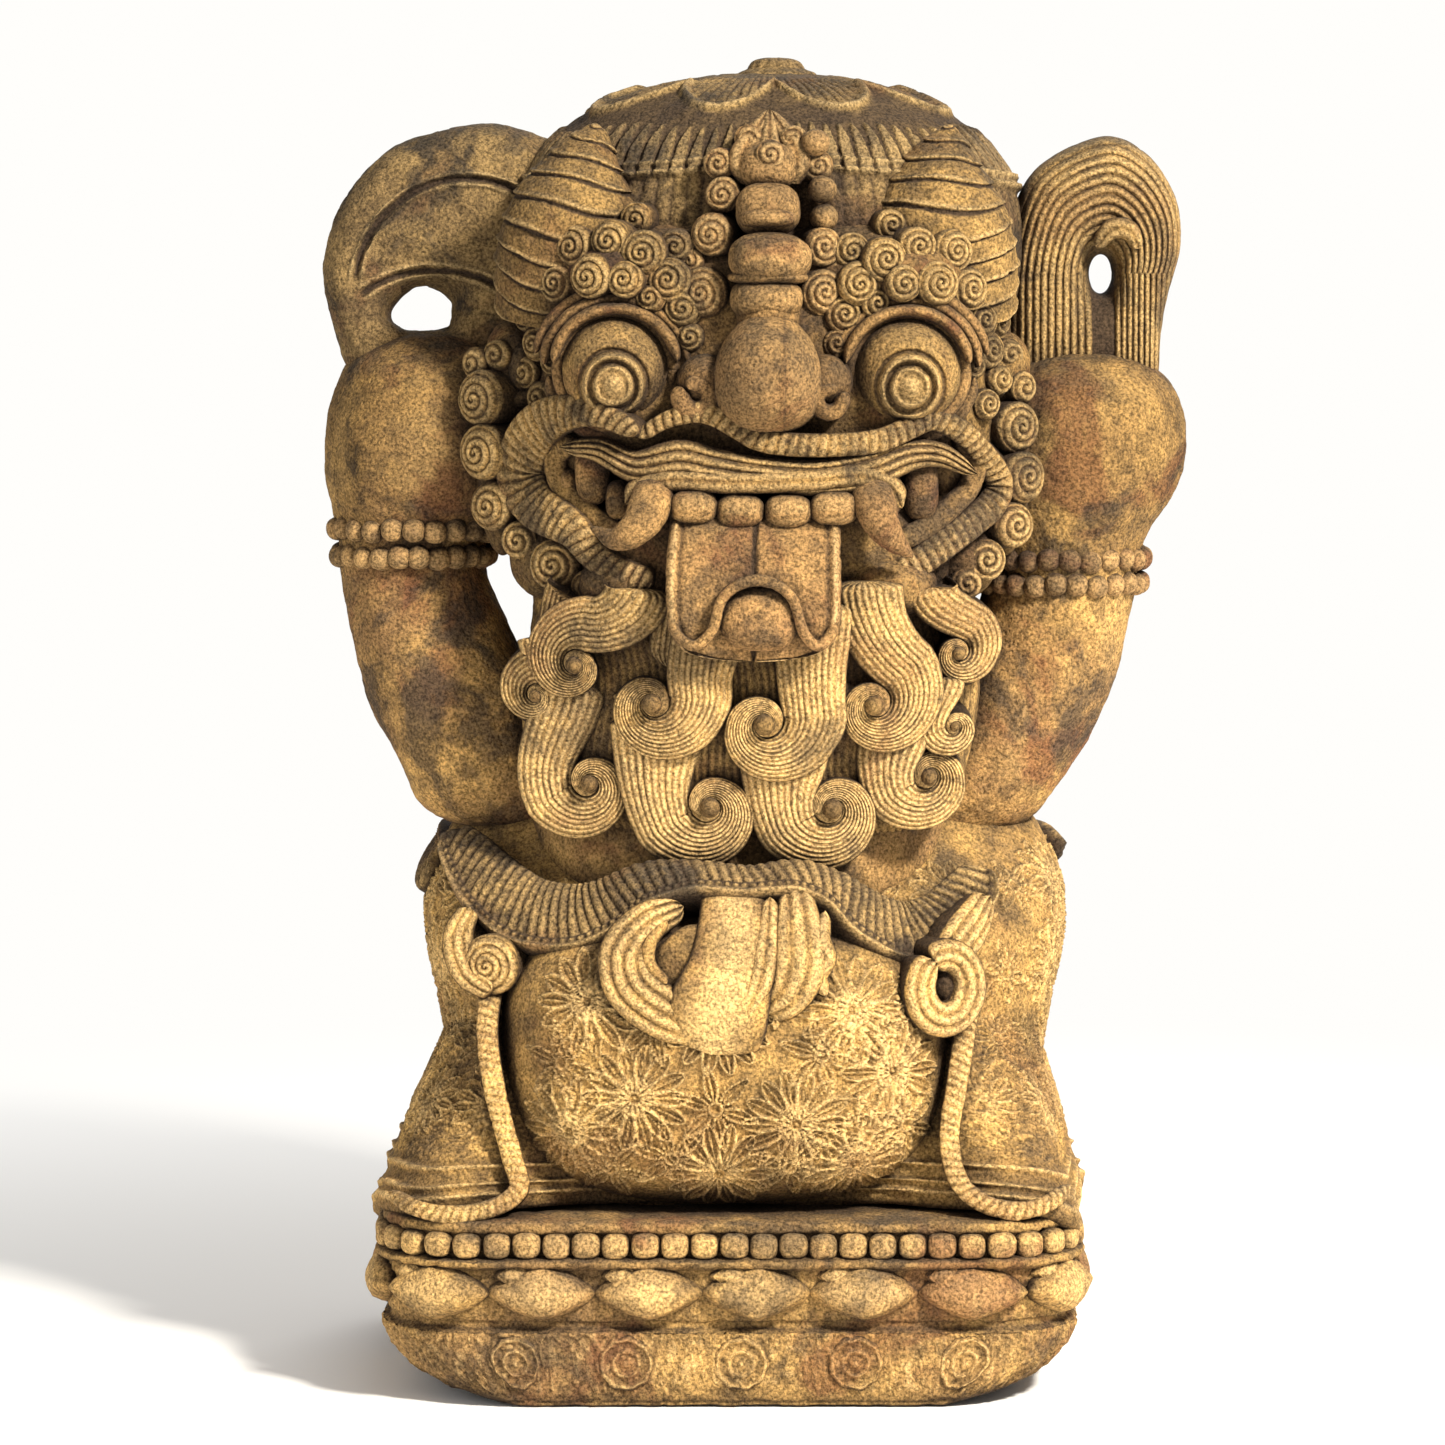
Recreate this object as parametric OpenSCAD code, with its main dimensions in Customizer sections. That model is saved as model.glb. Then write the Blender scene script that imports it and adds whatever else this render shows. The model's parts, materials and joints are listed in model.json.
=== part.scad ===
// Temple guardian statue: a crouching demon-lion with raised shoulders, carved from one stone block.
// Front faces -Y, +Z is up, millimetres, origin under the middle of the bounding box.
// Every carved member is its own solid, so that it can be reused or recoloured separately.

/* [Part to draw] */
// One carved member, or the whole statue

/* [Plinth] */
// Width of the plinth, left to right
plinth_w = 402; // [396:1:408]
// Depth of the plinth, front to back
plinth_d = 337; // [334:1:338]
// Height of the plinth under the figure
plinth_h = 104; // [102:1:106]
// Centre of the plinth, left of the middle of the statue
plinth_x = -14; // [-16:1:-12]
// Radius of the vertical corners
plinth_corner = 62; // [56:1:66]
// Distance between the beads of the upper course
bead_pitch = 16.4; // [16:0.1:19]
// Distance between the lotus petals
petal_pitch = 57; // [54:1:62]

/* [Body] */
// Half width of one hip
hip_r = 94; // [92:1:96]
// Half width of the rounded lap
lap_r = 125; // [122:1:127]
// Half width of the torso
torso_r = 119; // [116:1:122]
// Height of the middle of the waist sash
sash_z = 272; // [270:1:275]

/* [Arms] */
// Radius of the armlet beads
armlet_bead_r = 6.4; // [6:0.1:6.4]
// Number of beads on each armlet row
armlet_beads = 20; // [16:1:20]

/* [Head] */
// Half width of the crown
crown_r = 148; // [146:1:149]
// Top of the crown dome
crown_top = 741; // [738:1:742]
// Number of carved flutes round the crown
crown_flutes = 44; // [36:4:52]
// Radius of the bulging eyes
eye_r = 29; // [27:0.5:30]
// Number of ridges on a horn
horn_ridges = 7; // [6:1:8]

/* [Hidden] */
$fn = 64;
STONE = [0.72, 0.61, 0.43];
head_x = 6;
lap_x = -16;
head_c = [head_x, -12, 560];
head_r = [134, 118, 96];
crown_c = [head_x + 2, 18, 640];

// Ellipsoid with centre c and half axes r.
module blob(c, r) {
    translate(c) scale(r) sphere(r = 1);
}

// Tapered capsule with round ends, turned in one piece, from a (radius ra) to b (radius rb).
module pod(a, b, ra, rb) {
    d = b - a;
    len = norm(d);
    translate(a) rotate([0, acos(d.z / len), atan2(d.y, d.x)]) rotate_extrude()
        polygon(concat(
            [for (t = [-90 : 22.5 : -22.5]) [ra * cos(t), ra * sin(t)]],
            [[ra, 0], [rb, len]],
            [for (t = [22.5 : 22.5 : 90]) [rb * cos(t), len + rb * sin(t)]]));
}

// Domed curl of radius r that faces the front, with a ring groove, a centre boss and a stem of length back.
module curl(x, y, z, r, h = 12, back = 26) {
    translate([x, y, z]) rotate([90, 0, 0]) rotate_extrude()
        polygon([[0, -back], [r * 0.96, -back], [r, 0], [r * 0.86, h * 0.35], [r * 0.66, h * 0.45],
                 [r * 0.58, h * 0.2], [r * 0.5, h * 0.2], [r * 0.4, h * 0.55], [r * 0.15, h * 0.7], [0, h * 0.7]]);
}

// Depth of the front of the face, and of the front of the crown, at [x, z].
function face_y(x, z) = let(u = (x - head_x) / head_r.x, v = (z - head_c.z) / head_r.z)
    head_c.y - head_r.y * sqrt(max(0.1, 1 - u * u - v * v));
function crown_y(x, z) = let(u = (x - crown_c.x) / crown_r, v = (z - crown_c.z) / (crown_top - crown_c.z))
    crown_c.y - 122 * sqrt(max(0.1, 1 - u * u - v * v));

// Rounded rectangle of the plinth, grown by e on every side.
module plinth_outline(e = 0) {
    r = plinth_corner + e;
    w = plinth_w / 2 + e - r;
    d = plinth_d / 2 + e - r;
    translate([plinth_x, 0]) union() {
        square([2 * w, 2 * (d + r)], center = true);
        square([2 * (w + r), 2 * d], center = true);
        for (sx = [-1, 1], sy = [-1, 1]) translate([sx * w, sy * d]) circle(r = r);
    }
}

// A point and its outward angle at distance s along the plinth's outline, from the front middle.
function plinth_side(s) =
    let(w = plinth_w / 2 - plinth_corner, d = plinth_d / 2 - plinth_corner,
        q = plinth_corner * PI / 2, e = abs(s), k = s < 0 ? -1 : 1)
    e < w ? [k * e, -plinth_d / 2, 0]
    : e < w + q ? let(a = (e - w) / plinth_corner * 180 / PI)
        [k * (w + plinth_corner * sin(a)), -d - plinth_corner * cos(a), k * a]
    : e < w + q + 2 * d ? [k * plinth_w / 2, -d + (e - w - q), k * 90]
    : e < w + 2 * q + 2 * d ? let(a = (e - w - q - 2 * d) / plinth_corner * 180 / PI)
        [k * (w + plinth_corner * cos(a)), d + plinth_corner * sin(a), k * (90 + a)]
    : [k * (2 * w + 2 * q + 2 * d - e), plinth_d / 2, 180];

// Half the way round the plinth.
plinth_half = 2 * (plinth_w / 2 - plinth_corner) + 2 * (plinth_d / 2 - plinth_corner) + plinth_corner * PI;

// Copies of the children n times round the plinth, moved in from the face by inset.
module around_plinth(n, inset, z) {
    for (i = [0 : n - 1]) {
        p = plinth_side(((i + 0.5) * 2 / n - 1) * plinth_half);
        translate([plinth_x + p.x - inset * sin(p[2]), p.y + inset * cos(p[2]), z]) rotate(p[2]) children();
    }
}

module plinth() {
    foot_r = 44;
    color(STONE) intersection() {
        union() {
            linear_extrude(44) plinth_outline(-4);
            translate([0, 0, 43]) linear_extrude(7) plinth_outline(-10);
            translate([0, 0, 49]) linear_extrude(31) plinth_outline(-8);
            translate([0, 0, 79]) linear_extrude(4) plinth_outline(0);
            translate([0, 0, 82]) linear_extrude(plinth_h - 82) plinth_outline(-8);
        }
        translate([plinth_x, plinth_d / 2 + 1, 0]) rotate([90, 0, 0]) linear_extrude(plinth_d + 2) union() {
            for (k = [-1, 1]) translate([k * (plinth_w / 2 - foot_r), foot_r]) circle(r = foot_r);
            translate([0, 100]) square([2 * (plinth_w / 2 - foot_r), 200], center = true);
            translate([0, foot_r + 50]) square([plinth_w, 100], center = true);
        }
    }
}

module plinth_bead_course() {
    n = round(2 * plinth_half / bead_pitch);
    color(STONE) around_plinth(n, 7, 90.5) sphere(r = 6.6, $fn = 24);
}

module plinth_petals() {
    n = round(2 * plinth_half / petal_pitch);
    color(STONE) around_plinth(n, 9, 65) rotate([90, 0, 0]) scale([27, 13.5, 11])
        cylinder(h = 1, r1 = 1, r2 = 0.25, $fn = 4);
}

module plinth_medallions() {
    n = round(2 * plinth_half / (petal_pitch * 1.1));
    color(STONE) around_plinth(n, 6, 24) rotate([90, 0, 0]) rotate_extrude()
        polygon([[0, 0], [15, 0], [15, 4.5], [12.5, 6], [11, 4], [8.5, 4], [7, 6], [0, 6.5]]);
}

// Cloth that flares from the hip down over one end of the plinth.
skirt_top = 215;
skirt_foot = 121;
function flare(from, to) = concat(
    [for (t = [0 : 0.125 : 1]) [from + (to - from) * pow(t, 1.9), skirt_top + (skirt_foot - skirt_top) * t]],
    [[to + 1, 112], [to - 6, plinth_h], [0, plinth_h], [0, skirt_top]]);
module drape(k) {
    color(STONE) intersection() {
        translate([plinth_x, 0, 0]) rotate([90, 0, 0]) linear_extrude(320, center = true)
            intersection() {
                scale([k, 1]) polygon(flare(150, 201));
                translate([k * 160, 160]) square([100, 120], center = true);
            }
        rotate([90, 0, 90]) linear_extrude(500, center = true) union() {
            polygon(flare(112, 152));
            scale([-1, 1]) polygon(flare(112, 152));
        }
        translate([0, 0, 90]) linear_extrude(140) plinth_outline(2);
    }
}
module drape_left() { drape(-1); }
module drape_right() { drape(1); }

module hips() {
    color(STONE) union() {
        blob([-92, 14, 240], [hip_r, 122, 98]);
        blob([82, 14, 240], [hip_r, 122, 98]);
        translate([-5, 10, plinth_h]) linear_extrude(150) scale([150, 118]) circle(r = 1);
    }
}

module lap_apron() {
    color(STONE) blob([lap_x, -72, 195], [lap_r, 86, 91]);
}

// Narrow pleated hem that hangs beside the lap.
module hem_band(k, x) {
    color(STONE) pod([x, -98, 222], [x + k * 5, -118, 116], 13, 14);
}
module hem_band_left() { hem_band(1, -148); }
module hem_band_right() { hem_band(-1, 118); }

// Lower edge of the sash: a row of hanging scallops.
function sash_drop(x) = 15 * cos(x * 2.05 + 40) - 12 * cos(x * 1.02 - 20);

module waist_sash() {
    xs = [-168 : 8 : 152];
    color(STONE) intersection() {
        translate([0, 200, 0]) rotate([90, 0, 0]) linear_extrude(400)
            polygon(concat(
                [for (x = xs) [x, sash_z - 16 + sash_drop(x)]],
                [for (i = [len([for (x = xs) x]) - 1 : -1 : 0]) let(x = -168 + 8 * i) [x, sash_z + 16 + sash_drop(x)]]));
        translate([-8, 0, 200]) linear_extrude(140) difference() {
            scale([160, 140]) circle(r = 1);
            scale([128, 106]) circle(r = 1);
        }
    }
}

module sash_scroll_left() { color(STONE) curl(-148, -96, 236, 16, 16, 30); }

module sash_scroll_right() {
    color(STONE) union() {
        pod([122, -104, 262], [104, -126, 240], 14, 16);
        pod([108, -124, 246], [102, -128, 218], 13, 10);
    }
}

module knot_loop() {
    color(STONE) union() {
        pod([-60, -140, 242], [-38, -142, 224], 14, 12);
        curl(-62, -150, 252, 13, 10);
    }
}

module knot_tail() {
    color(STONE) union() {
        pod([-14, -134, 268], [-14, -142, 240], 14, 18);
        pod([-14, -146, 238], [-16, -144, 207], 15, 10);
    }
}

module knot_scroll() {
    color(STONE) union() {
        pod([20, -136, 262], [28, -142, 240], 12, 13.5);
        pod([28, -146, 238], [16, -144, 222], 11, 9);
    }
}

module torso() {
    color(STONE) union() {
        translate([-8, 5, 215]) linear_extrude(160) scale([torso_r, 98]) circle(r = 1);
        blob([-4, 8, 372], [122, 102, 92]);
    }
}

module shoulder_left() { color(STONE) blob([-181, 12, 526], [67.5, 73, 63]); }
module shoulder_right() { color(STONE) blob([184, 12, 516], [65, 72, 60]); }

module arm_left() {
    color(STONE) union() {
        pod([-195, 8, 500], [-188, 2, 412], 39, 45);
        pod([-174, 0, 388], [-142, -2, 342], 49, 33);
    }
}
module arm_right() {
    color(STONE) union() {
        pod([181, 8, 490], [170, 2, 412], 40, 46);
        pod([156, 0, 388], [118, -2, 338], 50, 34);
    }
}

// Two rows of beads round the upper arm, centred at c, in a ring of half axes rx and ry.
module armlet(c, rx, ry, gap) {
    color(STONE) for (row = [0, 1], i = [0 : armlet_beads - 1]) {
        a = (i + 0.5 * row) * 360 / armlet_beads;
        translate([c.x + rx * cos(a), c.y + ry * sin(a), c.z - gap * row]) sphere(r = armlet_bead_r, $fn = 24);
    }
}
module armlet_left() { armlet([-196, 6, 480], 41, 42, 15); }
module armlet_right() { armlet([178, 6, 464], 43, 45, 14.5); }

module shoulder_crescent() {
    color(STONE) difference() {
        translate([0, 52, 0]) rotate([90, 0, 0]) linear_extrude(66) union() {
            translate([-168, 631]) circle(r = 76);
            polygon([[-232, 590], [-228, 560], [-150, 560], [-110, 640]]);
        }
        translate([-191, 60, 598]) rotate([90, 0, 0]) linear_extrude(90) scale([17, 13]) circle(r = 1);
    }
}

module hair_plume() {
    color(STONE) difference() {
        translate([0, 50, 0]) rotate([90, 0, 0]) linear_extrude(62) union() {
            translate([189, 643]) circle(r = 56);
            polygon([[140, 600], [150, 560], [215, 560], [229, 566], [236, 600], [244, 640], [200, 660]]);
        }
        translate([199, 60, 626]) rotate([90, 0, 0]) linear_extrude(90) scale([6.5, 11]) circle(r = 1);
    }
}

module head() {
    color(STONE) union() {
        blob(head_c, head_r);
        blob([head_x, -40, 500], [112, 88, 70]);
    }
}

module back_hair() { color(STONE) blob([2, 62, 500], [128, 86, 150]); }

module crown() {
    color(STONE) blob(crown_c, [crown_r, 122, crown_top - crown_c.z]);
}

// Ring of flutes round the lower part of the crown dome.
module crown_band() {
    color(STONE) for (i = [0 : crown_flutes - 1]) {
        a = (i + 0.5) * 360 / crown_flutes;
        pod([head_x + 2 + 141 * cos(a), 18 + 116 * sin(a), 672],
            [head_x + 2 + 106 * cos(a), 18 + 87 * sin(a), 710], 5, 3);
    }
}

module crown_knob() {
    color(STONE) translate([13, 18, 736]) rotate_extrude()
        polygon([[0, 0], [21, 0], [22, 5], [18, 9], [12, 10], [10, 13], [5, 14], [0, 14]]);
}

// Cone of stacked ridges, leaning by lean degrees to the side.
module horn(x, z, r, h, lean) {
    step = h / horn_ridges;
    color(STONE) translate([x, -92, z]) rotate([-8, lean, 0]) rotate_extrude()
        polygon(concat(
            [[0, 0]],
            [for (i = [0 : horn_ridges - 1], e = [0, 1])
                let(f = 1 - (i + 0.6 * e) / (horn_ridges + 0.4)) [r * pow(f, 0.75), step * (i + 0.85 * e)]],
            [[0, h]]));
}
module horn_left() { horn(-101, 622, 40, 86, 6); }
module horn_right() { horn(100, 622, 42, 86, 4); }

// Spiral knobs over one eye: [x, z, radius] of each.
module knobs(list) {
    for (c = list) curl(c[0], min(face_y(c[0], c[1]), crown_y(c[0], c[1])) - 7, c[1], c[2], 11);
}
module brow_curls_left() {
    color(STONE) knobs([[-106, 637, 10], [-98, 616, 10], [-79, 619, 10], [-112, 605, 9], [-121, 626, 9],
                        [-113, 585, 9], [-67, 632, 9], [-49, 619, 8], [-45, 606, 8]]);
}
module brow_curls_right() {
    color(STONE) knobs([[82, 634, 10], [102, 637, 10], [124, 631, 10], [83, 621, 9], [101, 619, 9],
                        [116, 612, 9], [126, 597, 9], [130, 584, 9], [62, 626, 8], [58, 612, 8]]);
}

module forehead_ornament() {
    color(STONE) union() {
        blob([6, -128, 613], [19, 18, 12]);
        blob([8, -130, 634], [22, 18, 15]);
        blob([7, -122, 661], [17, 15, 15]);
        blob([8, -98, 690], [15, 18, 19]);
        curl(-23, -120, 644, 10);
        curl(-28, -130, 612, 12);
        curl(36, -120, 640, 9);
        curl(35, -130, 617, 10);
        blob([36, -100, 671], [8, 12, 8]);
        blob([37, -106, 655], [8, 12, 8]);
    }
}

module eye(x, z) {
    color(STONE) union() {
        blob([x, face_y(x, z) - 8, z], [eye_r, 30, eye_r]);
        translate([x, face_y(x, z) - 33, z - 7]) rotate([90, 0, 0]) rotate_extrude()
            polygon([[0, -6], [16, -6], [16, 3], [13, 5], [11, 3], [8, 5], [5, 7], [0, 7]]);
    }
}
module eye_left() { eye(-77, 573); }
module eye_right() { eye(84, 572); }

module eyelid(x, z) {
    color(STONE) translate([x, face_y(x, z) - 10, z]) rotate([90, 0, 0]) rotate_extrude()
        translate([eye_r + 1, 0]) scale([1, 2.4]) circle(r = 5);
}
module eyelid_left() { eyelid(-77, 573); }
module eyelid_right() { eyelid(84, 572); }

module nose() {
    color(STONE) union() {
        blob([7, -138, 571], [29, 33, 32]);
        blob([7, -126, 600], [20, 24, 20]);
    }
}

module nostril_curls() {
    color(STONE) {
        curl(-31, -142, 559, 15, 14);
        curl(40, -142, 556, 12, 14);
    }
}

module ear_left() { color(STONE) blob([-131, -46, 577], [18, 26, 22]); }
module ear_right() { color(STONE) blob([137, -44, 572], [16, 26, 22]); }
module ear_curls_left() {
    color(STONE) for (c = [[-152, 555, 15], [-151, 525, 15], [-148, 494, 12.5], [-112, 462, 13]])
        curl(c[0], -74, c[1], c[2], 18, 40);
}
module ear_curls_right() {
    color(STONE) for (c = [[146, 539, 12.5], [150, 512, 12.5], [144, 485, 11.5], [126, 468, 10]])
        curl(c[0], -74, c[1], c[2], 18, 62);
}

// Height of the ribbed moustache over the mouth, as a shallow double arch.
function lip_z(x) = 541 + 7 * cos((x - head_x) * 3.4) - 12 * pow(abs(x - head_x) / 120, 3);

module moustache() {
    color(STONE) for (x = [-108 : 9 : 126])
        pod([x, face_y(x, 541) - 3, lip_z(x) + 5], [x, face_y(x, 541) - 6, lip_z(x) - 5], 4.2, 3.6);
}

module upper_lip() {
    color(STONE) union() {
        blob([8, -118, 530], [62, 17, 13]);
        blob([-66, -104, 524], [44, 18, 12]);
        blob([80, -104, 525], [44, 18, 12]);
    }
}

module jaw() {
    color(STONE) union() {
        blob([4, -72, 468], [104, 66, 38]);
        blob([-72, -106, 452], [26, 18, 14]);
        blob([76, -106, 452], [28, 18, 14]);
    }
}

module teeth() {
    color(STONE) for (x = [-34, -8, 18, 43.5]) blob([x, -130, 497], [12.6, 9, 11]);
}

// Fang that curls down and out on one side.
module fang(k, x) {
    pod([x, -128, 502], [x - k * 3, -133, 488], 9, 7);
    pod([x - k * 2, -133, 487], [x + k * 8, -134, 480], 6, 3.2);
}
module fangs() { color(STONE) { fang(-1, -57); fang(1, 65); } }

module molars() {
    color(STONE) for (c = [[-89, 512], [-72, 506], [92, 506], [110, 508]])
        blob([c[0], face_y(c[0], c[1]) - 3, c[1]], [8.5, 12, 15]);
}

module tongue() {
    color(STONE) union() {
        translate([-1, -118, 0]) rotate([90, 0, 0]) linear_extrude(28) union() {
            translate([-48, 440]) square([95, 48]);
            for (k = [-1, 1]) translate([k * 24, 441]) circle(r = 23.5);
        }
        blob([1, -149, 434], [25, 15, 20]);
    }
}

// One carved lock: a strand that comes down from [from.x, from.y] and ends in a curl of radius r at [x, z].
module lock(from, x, z, r, y) {
    pod([from.x, y + 16, from.y], [x + (from.x - x) * 0.4, y + 9, z + r * 0.3], r * 0.5, r * 0.62);
    curl(x, y, z, r, 16);
}

module beard_back_locks() {
    color(STONE) union() {
        blob([-4, -52, 388], [128, 76, 74]);
        blob([-102, -88, 430], [26, 28, 26]);
        blob([92, -88, 434], [26, 28, 26]);
    }
}

module beard_upper_row() {
    color(STONE) {
        lock([-78, 432], -100, 411, 18, -116);
        lock([-30, 420], -50, 389, 21, -128);
        lock([22, 412], 6, 376, 26, -132);
        lock([54, 424], 68, 386, 23, -128);
        lock([92, 428], 113, 415, 14.5, -110);
        lock([-118, 416], -123, 392, 14, -104);
    }
}

module beard_lower_row() {
    color(STONE) {
        lock([-92, 378], -94, 340, 20, -116);
        lock([-44, 366], -24, 324, 22, -124);
        lock([22, 350], 47, 323, 20, -124);
        lock([82, 362], 95, 344, 17, -116);
        lock([116, 388], 112, 376, 13, -104);
    }
}

plinth();
plinth_bead_course();
plinth_petals();
plinth_medallions();
drape_left();
drape_right();
hips();
lap_apron();
hem_band_left();
hem_band_right();
waist_sash();
sash_scroll_left();
sash_scroll_right();
knot_loop();
knot_tail();
knot_scroll();
torso();
shoulder_left();
shoulder_right();
arm_left();
arm_right();
armlet_left();
armlet_right();
shoulder_crescent();
hair_plume();
head();
back_hair();
crown();
crown_band();
crown_knob();
horn_left();
horn_right();
brow_curls_left();
brow_curls_right();
forehead_ornament();
eye_left();
eye_right();
eyelid_left();
eyelid_right();
nose();
nostril_curls();
ear_left();
ear_right();
ear_curls_left();
ear_curls_right();
moustache();
upper_lip();
jaw();
teeth();
fangs();
molars();
tongue();
beard_back_locks();
beard_upper_row();
beard_lower_row();
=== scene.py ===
"""Weathered stone temple guardian: carved surfaces, stone materials, soft studio light and camera.

Shapes are in millimetres in the row frame (front faces -Y, +Z up) until a Carving turns them into a mesh.
"""
import json
import math

import bpy
import numpy as np
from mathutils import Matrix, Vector

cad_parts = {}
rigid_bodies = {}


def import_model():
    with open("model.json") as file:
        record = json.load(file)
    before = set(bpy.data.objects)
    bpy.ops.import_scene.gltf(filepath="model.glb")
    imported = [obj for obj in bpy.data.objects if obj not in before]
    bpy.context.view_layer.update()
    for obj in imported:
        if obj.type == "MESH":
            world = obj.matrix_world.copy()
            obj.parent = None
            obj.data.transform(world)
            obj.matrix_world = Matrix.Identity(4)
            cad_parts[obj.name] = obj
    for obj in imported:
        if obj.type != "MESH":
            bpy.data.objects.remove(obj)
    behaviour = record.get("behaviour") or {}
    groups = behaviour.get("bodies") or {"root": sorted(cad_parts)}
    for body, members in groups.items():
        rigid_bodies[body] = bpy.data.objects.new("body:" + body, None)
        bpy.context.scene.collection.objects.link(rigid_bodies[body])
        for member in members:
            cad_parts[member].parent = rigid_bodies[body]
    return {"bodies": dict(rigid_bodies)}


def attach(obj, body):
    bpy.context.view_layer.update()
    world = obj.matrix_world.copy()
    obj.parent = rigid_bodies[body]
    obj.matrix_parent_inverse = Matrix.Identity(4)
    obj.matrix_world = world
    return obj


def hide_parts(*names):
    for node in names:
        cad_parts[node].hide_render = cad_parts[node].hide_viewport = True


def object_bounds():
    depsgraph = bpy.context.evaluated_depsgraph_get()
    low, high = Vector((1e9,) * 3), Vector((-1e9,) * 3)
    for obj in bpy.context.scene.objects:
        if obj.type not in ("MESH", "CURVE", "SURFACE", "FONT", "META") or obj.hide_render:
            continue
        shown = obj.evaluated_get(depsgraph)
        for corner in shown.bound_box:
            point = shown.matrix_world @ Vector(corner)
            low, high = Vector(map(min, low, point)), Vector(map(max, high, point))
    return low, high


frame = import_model()
cad_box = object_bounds()

MM = 0.001
BODY = next(iter(frame["bodies"]))
TAU = 2 * math.pi


# -------- numbers and noise

def hash_lattice(ix, iy, iz, seed):
    """Repeatable random number between -1 and 1 for each whole-number lattice point."""
    h = (ix * 374761393 + iy * 668265263 + iz * 1442695041 + seed * 1274126177) & 0xFFFFFFFF
    h = ((h ^ (h >> 13)) * 1274126177) & 0xFFFFFFFF
    return ((h ^ (h >> 16)) & 0xFFFF) / 32767.5 - 1.0


def noise(p, size, seed=0):
    """Smooth noise between -1 and 1 whose lumps are about size mm across."""
    q = p / size
    cell = np.floor(q).astype(np.int64)
    f = q - cell
    f = f * f * (3 - 2 * f)
    total = np.zeros(p.shape[:-1])
    for dx in (0, 1):
        wx = f[..., 0] if dx else 1 - f[..., 0]
        for dy in (0, 1):
            wy = f[..., 1] if dy else 1 - f[..., 1]
            for dz in (0, 1):
                wz = f[..., 2] if dz else 1 - f[..., 2]
                corner = hash_lattice(cell[..., 0] + dx, cell[..., 1] + dy, cell[..., 2] + dz, seed)
                total += wx * wy * wz * corner
    return total


def unit(v):
    """Vectors scaled to length 1."""
    return v / np.maximum(np.linalg.norm(v, axis=-1, keepdims=True), 1e-9)


def smoothstep(x, low, high):
    """0 below low, 1 above high and smooth between them."""
    t = np.clip((x - low) / (high - low), 0, 1)
    return t * t * (3 - 2 * t)


def between(x, low, low_end, high_start, high):
    """1 from low_end to high_start, 0 below low and above high."""
    return smoothstep(x, low, low_end) * (1 - smoothstep(x, high_start, high))


def ridged(angle, sharp=0.6):
    """Round ridges with sharp grooves between them, one each half turn: 0 in a groove, 1 on a ridge."""
    return np.abs(np.sin(angle)) ** sharp


def circle(count):
    """count angles round a full turn."""
    return np.linspace(0, TAU, count, endpoint=False)


def squared(c, s, power):
    """Factor that turns the circle with cosine c and sine s into a superellipse."""
    return (np.abs(c) ** power + np.abs(s) ** power) ** (-1 / power)


def spline(a, b, c, d, f):
    """Smooth curve through four points, at the fraction f from b to c."""
    bend = 2 * a - 5 * b + 4 * c - d
    twist = 3 * b - a - 3 * c + d
    return 0.5 * (2 * b + (c - a) * f + bend * f ** 2 + twist * f ** 3)


def curve(points, count):
    """count rows along a smooth curve through a few points of any dimension."""
    p = np.asarray(points, float)
    p = np.vstack([2 * p[0] - p[1], p, 2 * p[-1] - p[-2]])
    spans = len(p) - 3
    t = np.linspace(0, spans, count)
    i = np.minimum(t.astype(int), spans - 1)
    f = (t - i)[:, None]
    return spline(p[i], p[i + 1], p[i + 2], p[i + 3], f)


def profile(values, count):
    """count numbers along a smooth run through a few."""
    return curve(np.asarray(values, float)[:, None], count)[:, 0]


def line_at(distance, half):
    """1 on a line and 0 away from it, for carved or raised lines of half width half."""
    return np.exp(-(distance / half) ** 2)


# -------- skins: rows x columns of points

def grid_normals(P, closed_rows=False):
    """Outward normals of a skin whose columns wrap round."""
    across = np.roll(P, -1, axis=1) - np.roll(P, 1, axis=1)
    if closed_rows:
        along = np.roll(P, -1, axis=0) - np.roll(P, 1, axis=0)
    else:
        along = np.gradient(P, axis=0)
    n = unit(np.cross(along, across))
    return n if enclosed(P, closed_rows) > 0 else -n


def enclosed(P, closed_rows=False):
    """Signed volume, positive when rows x columns wind outward."""
    A = P if closed_rows else P[:-1]
    B = np.roll(P, -1, axis=0) if closed_rows else P[1:]
    A2, B2 = np.roll(A, -1, axis=1), np.roll(B, -1, axis=1)
    total = np.einsum("ijk,ijk->", A, np.cross(B, B2)) + np.einsum("ijk,ijk->", A, np.cross(B2, A2))
    if not closed_rows:
        for row, sign in ((P[0], 1), (P[-1], -1)):
            c = np.broadcast_to(row.mean(0), row.shape)
            total += sign * np.einsum("ij,ij->", c, np.cross(row, np.roll(row, -1, axis=0)))
    return total


def weather(P, closed_rows=False, amount=1.0):
    """Uneven chiselling, worn lumps and pits of the stone, added to a skin."""
    n = grid_normals(P, closed_rows)
    d = 0.55 * noise(P, 17, 3) + 0.38 * noise(P, 6.5, 5) + 0.22 * noise(P, 2.9, 7)
    pit = np.maximum(0, noise(P, 4.2, 11) - 0.45)
    chip = np.maximum(0, noise(P, 11, 13) - 0.55)
    d = d - 1.6 * pit - 1.2 * chip
    return P + n * (d * amount)[..., None]


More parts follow.
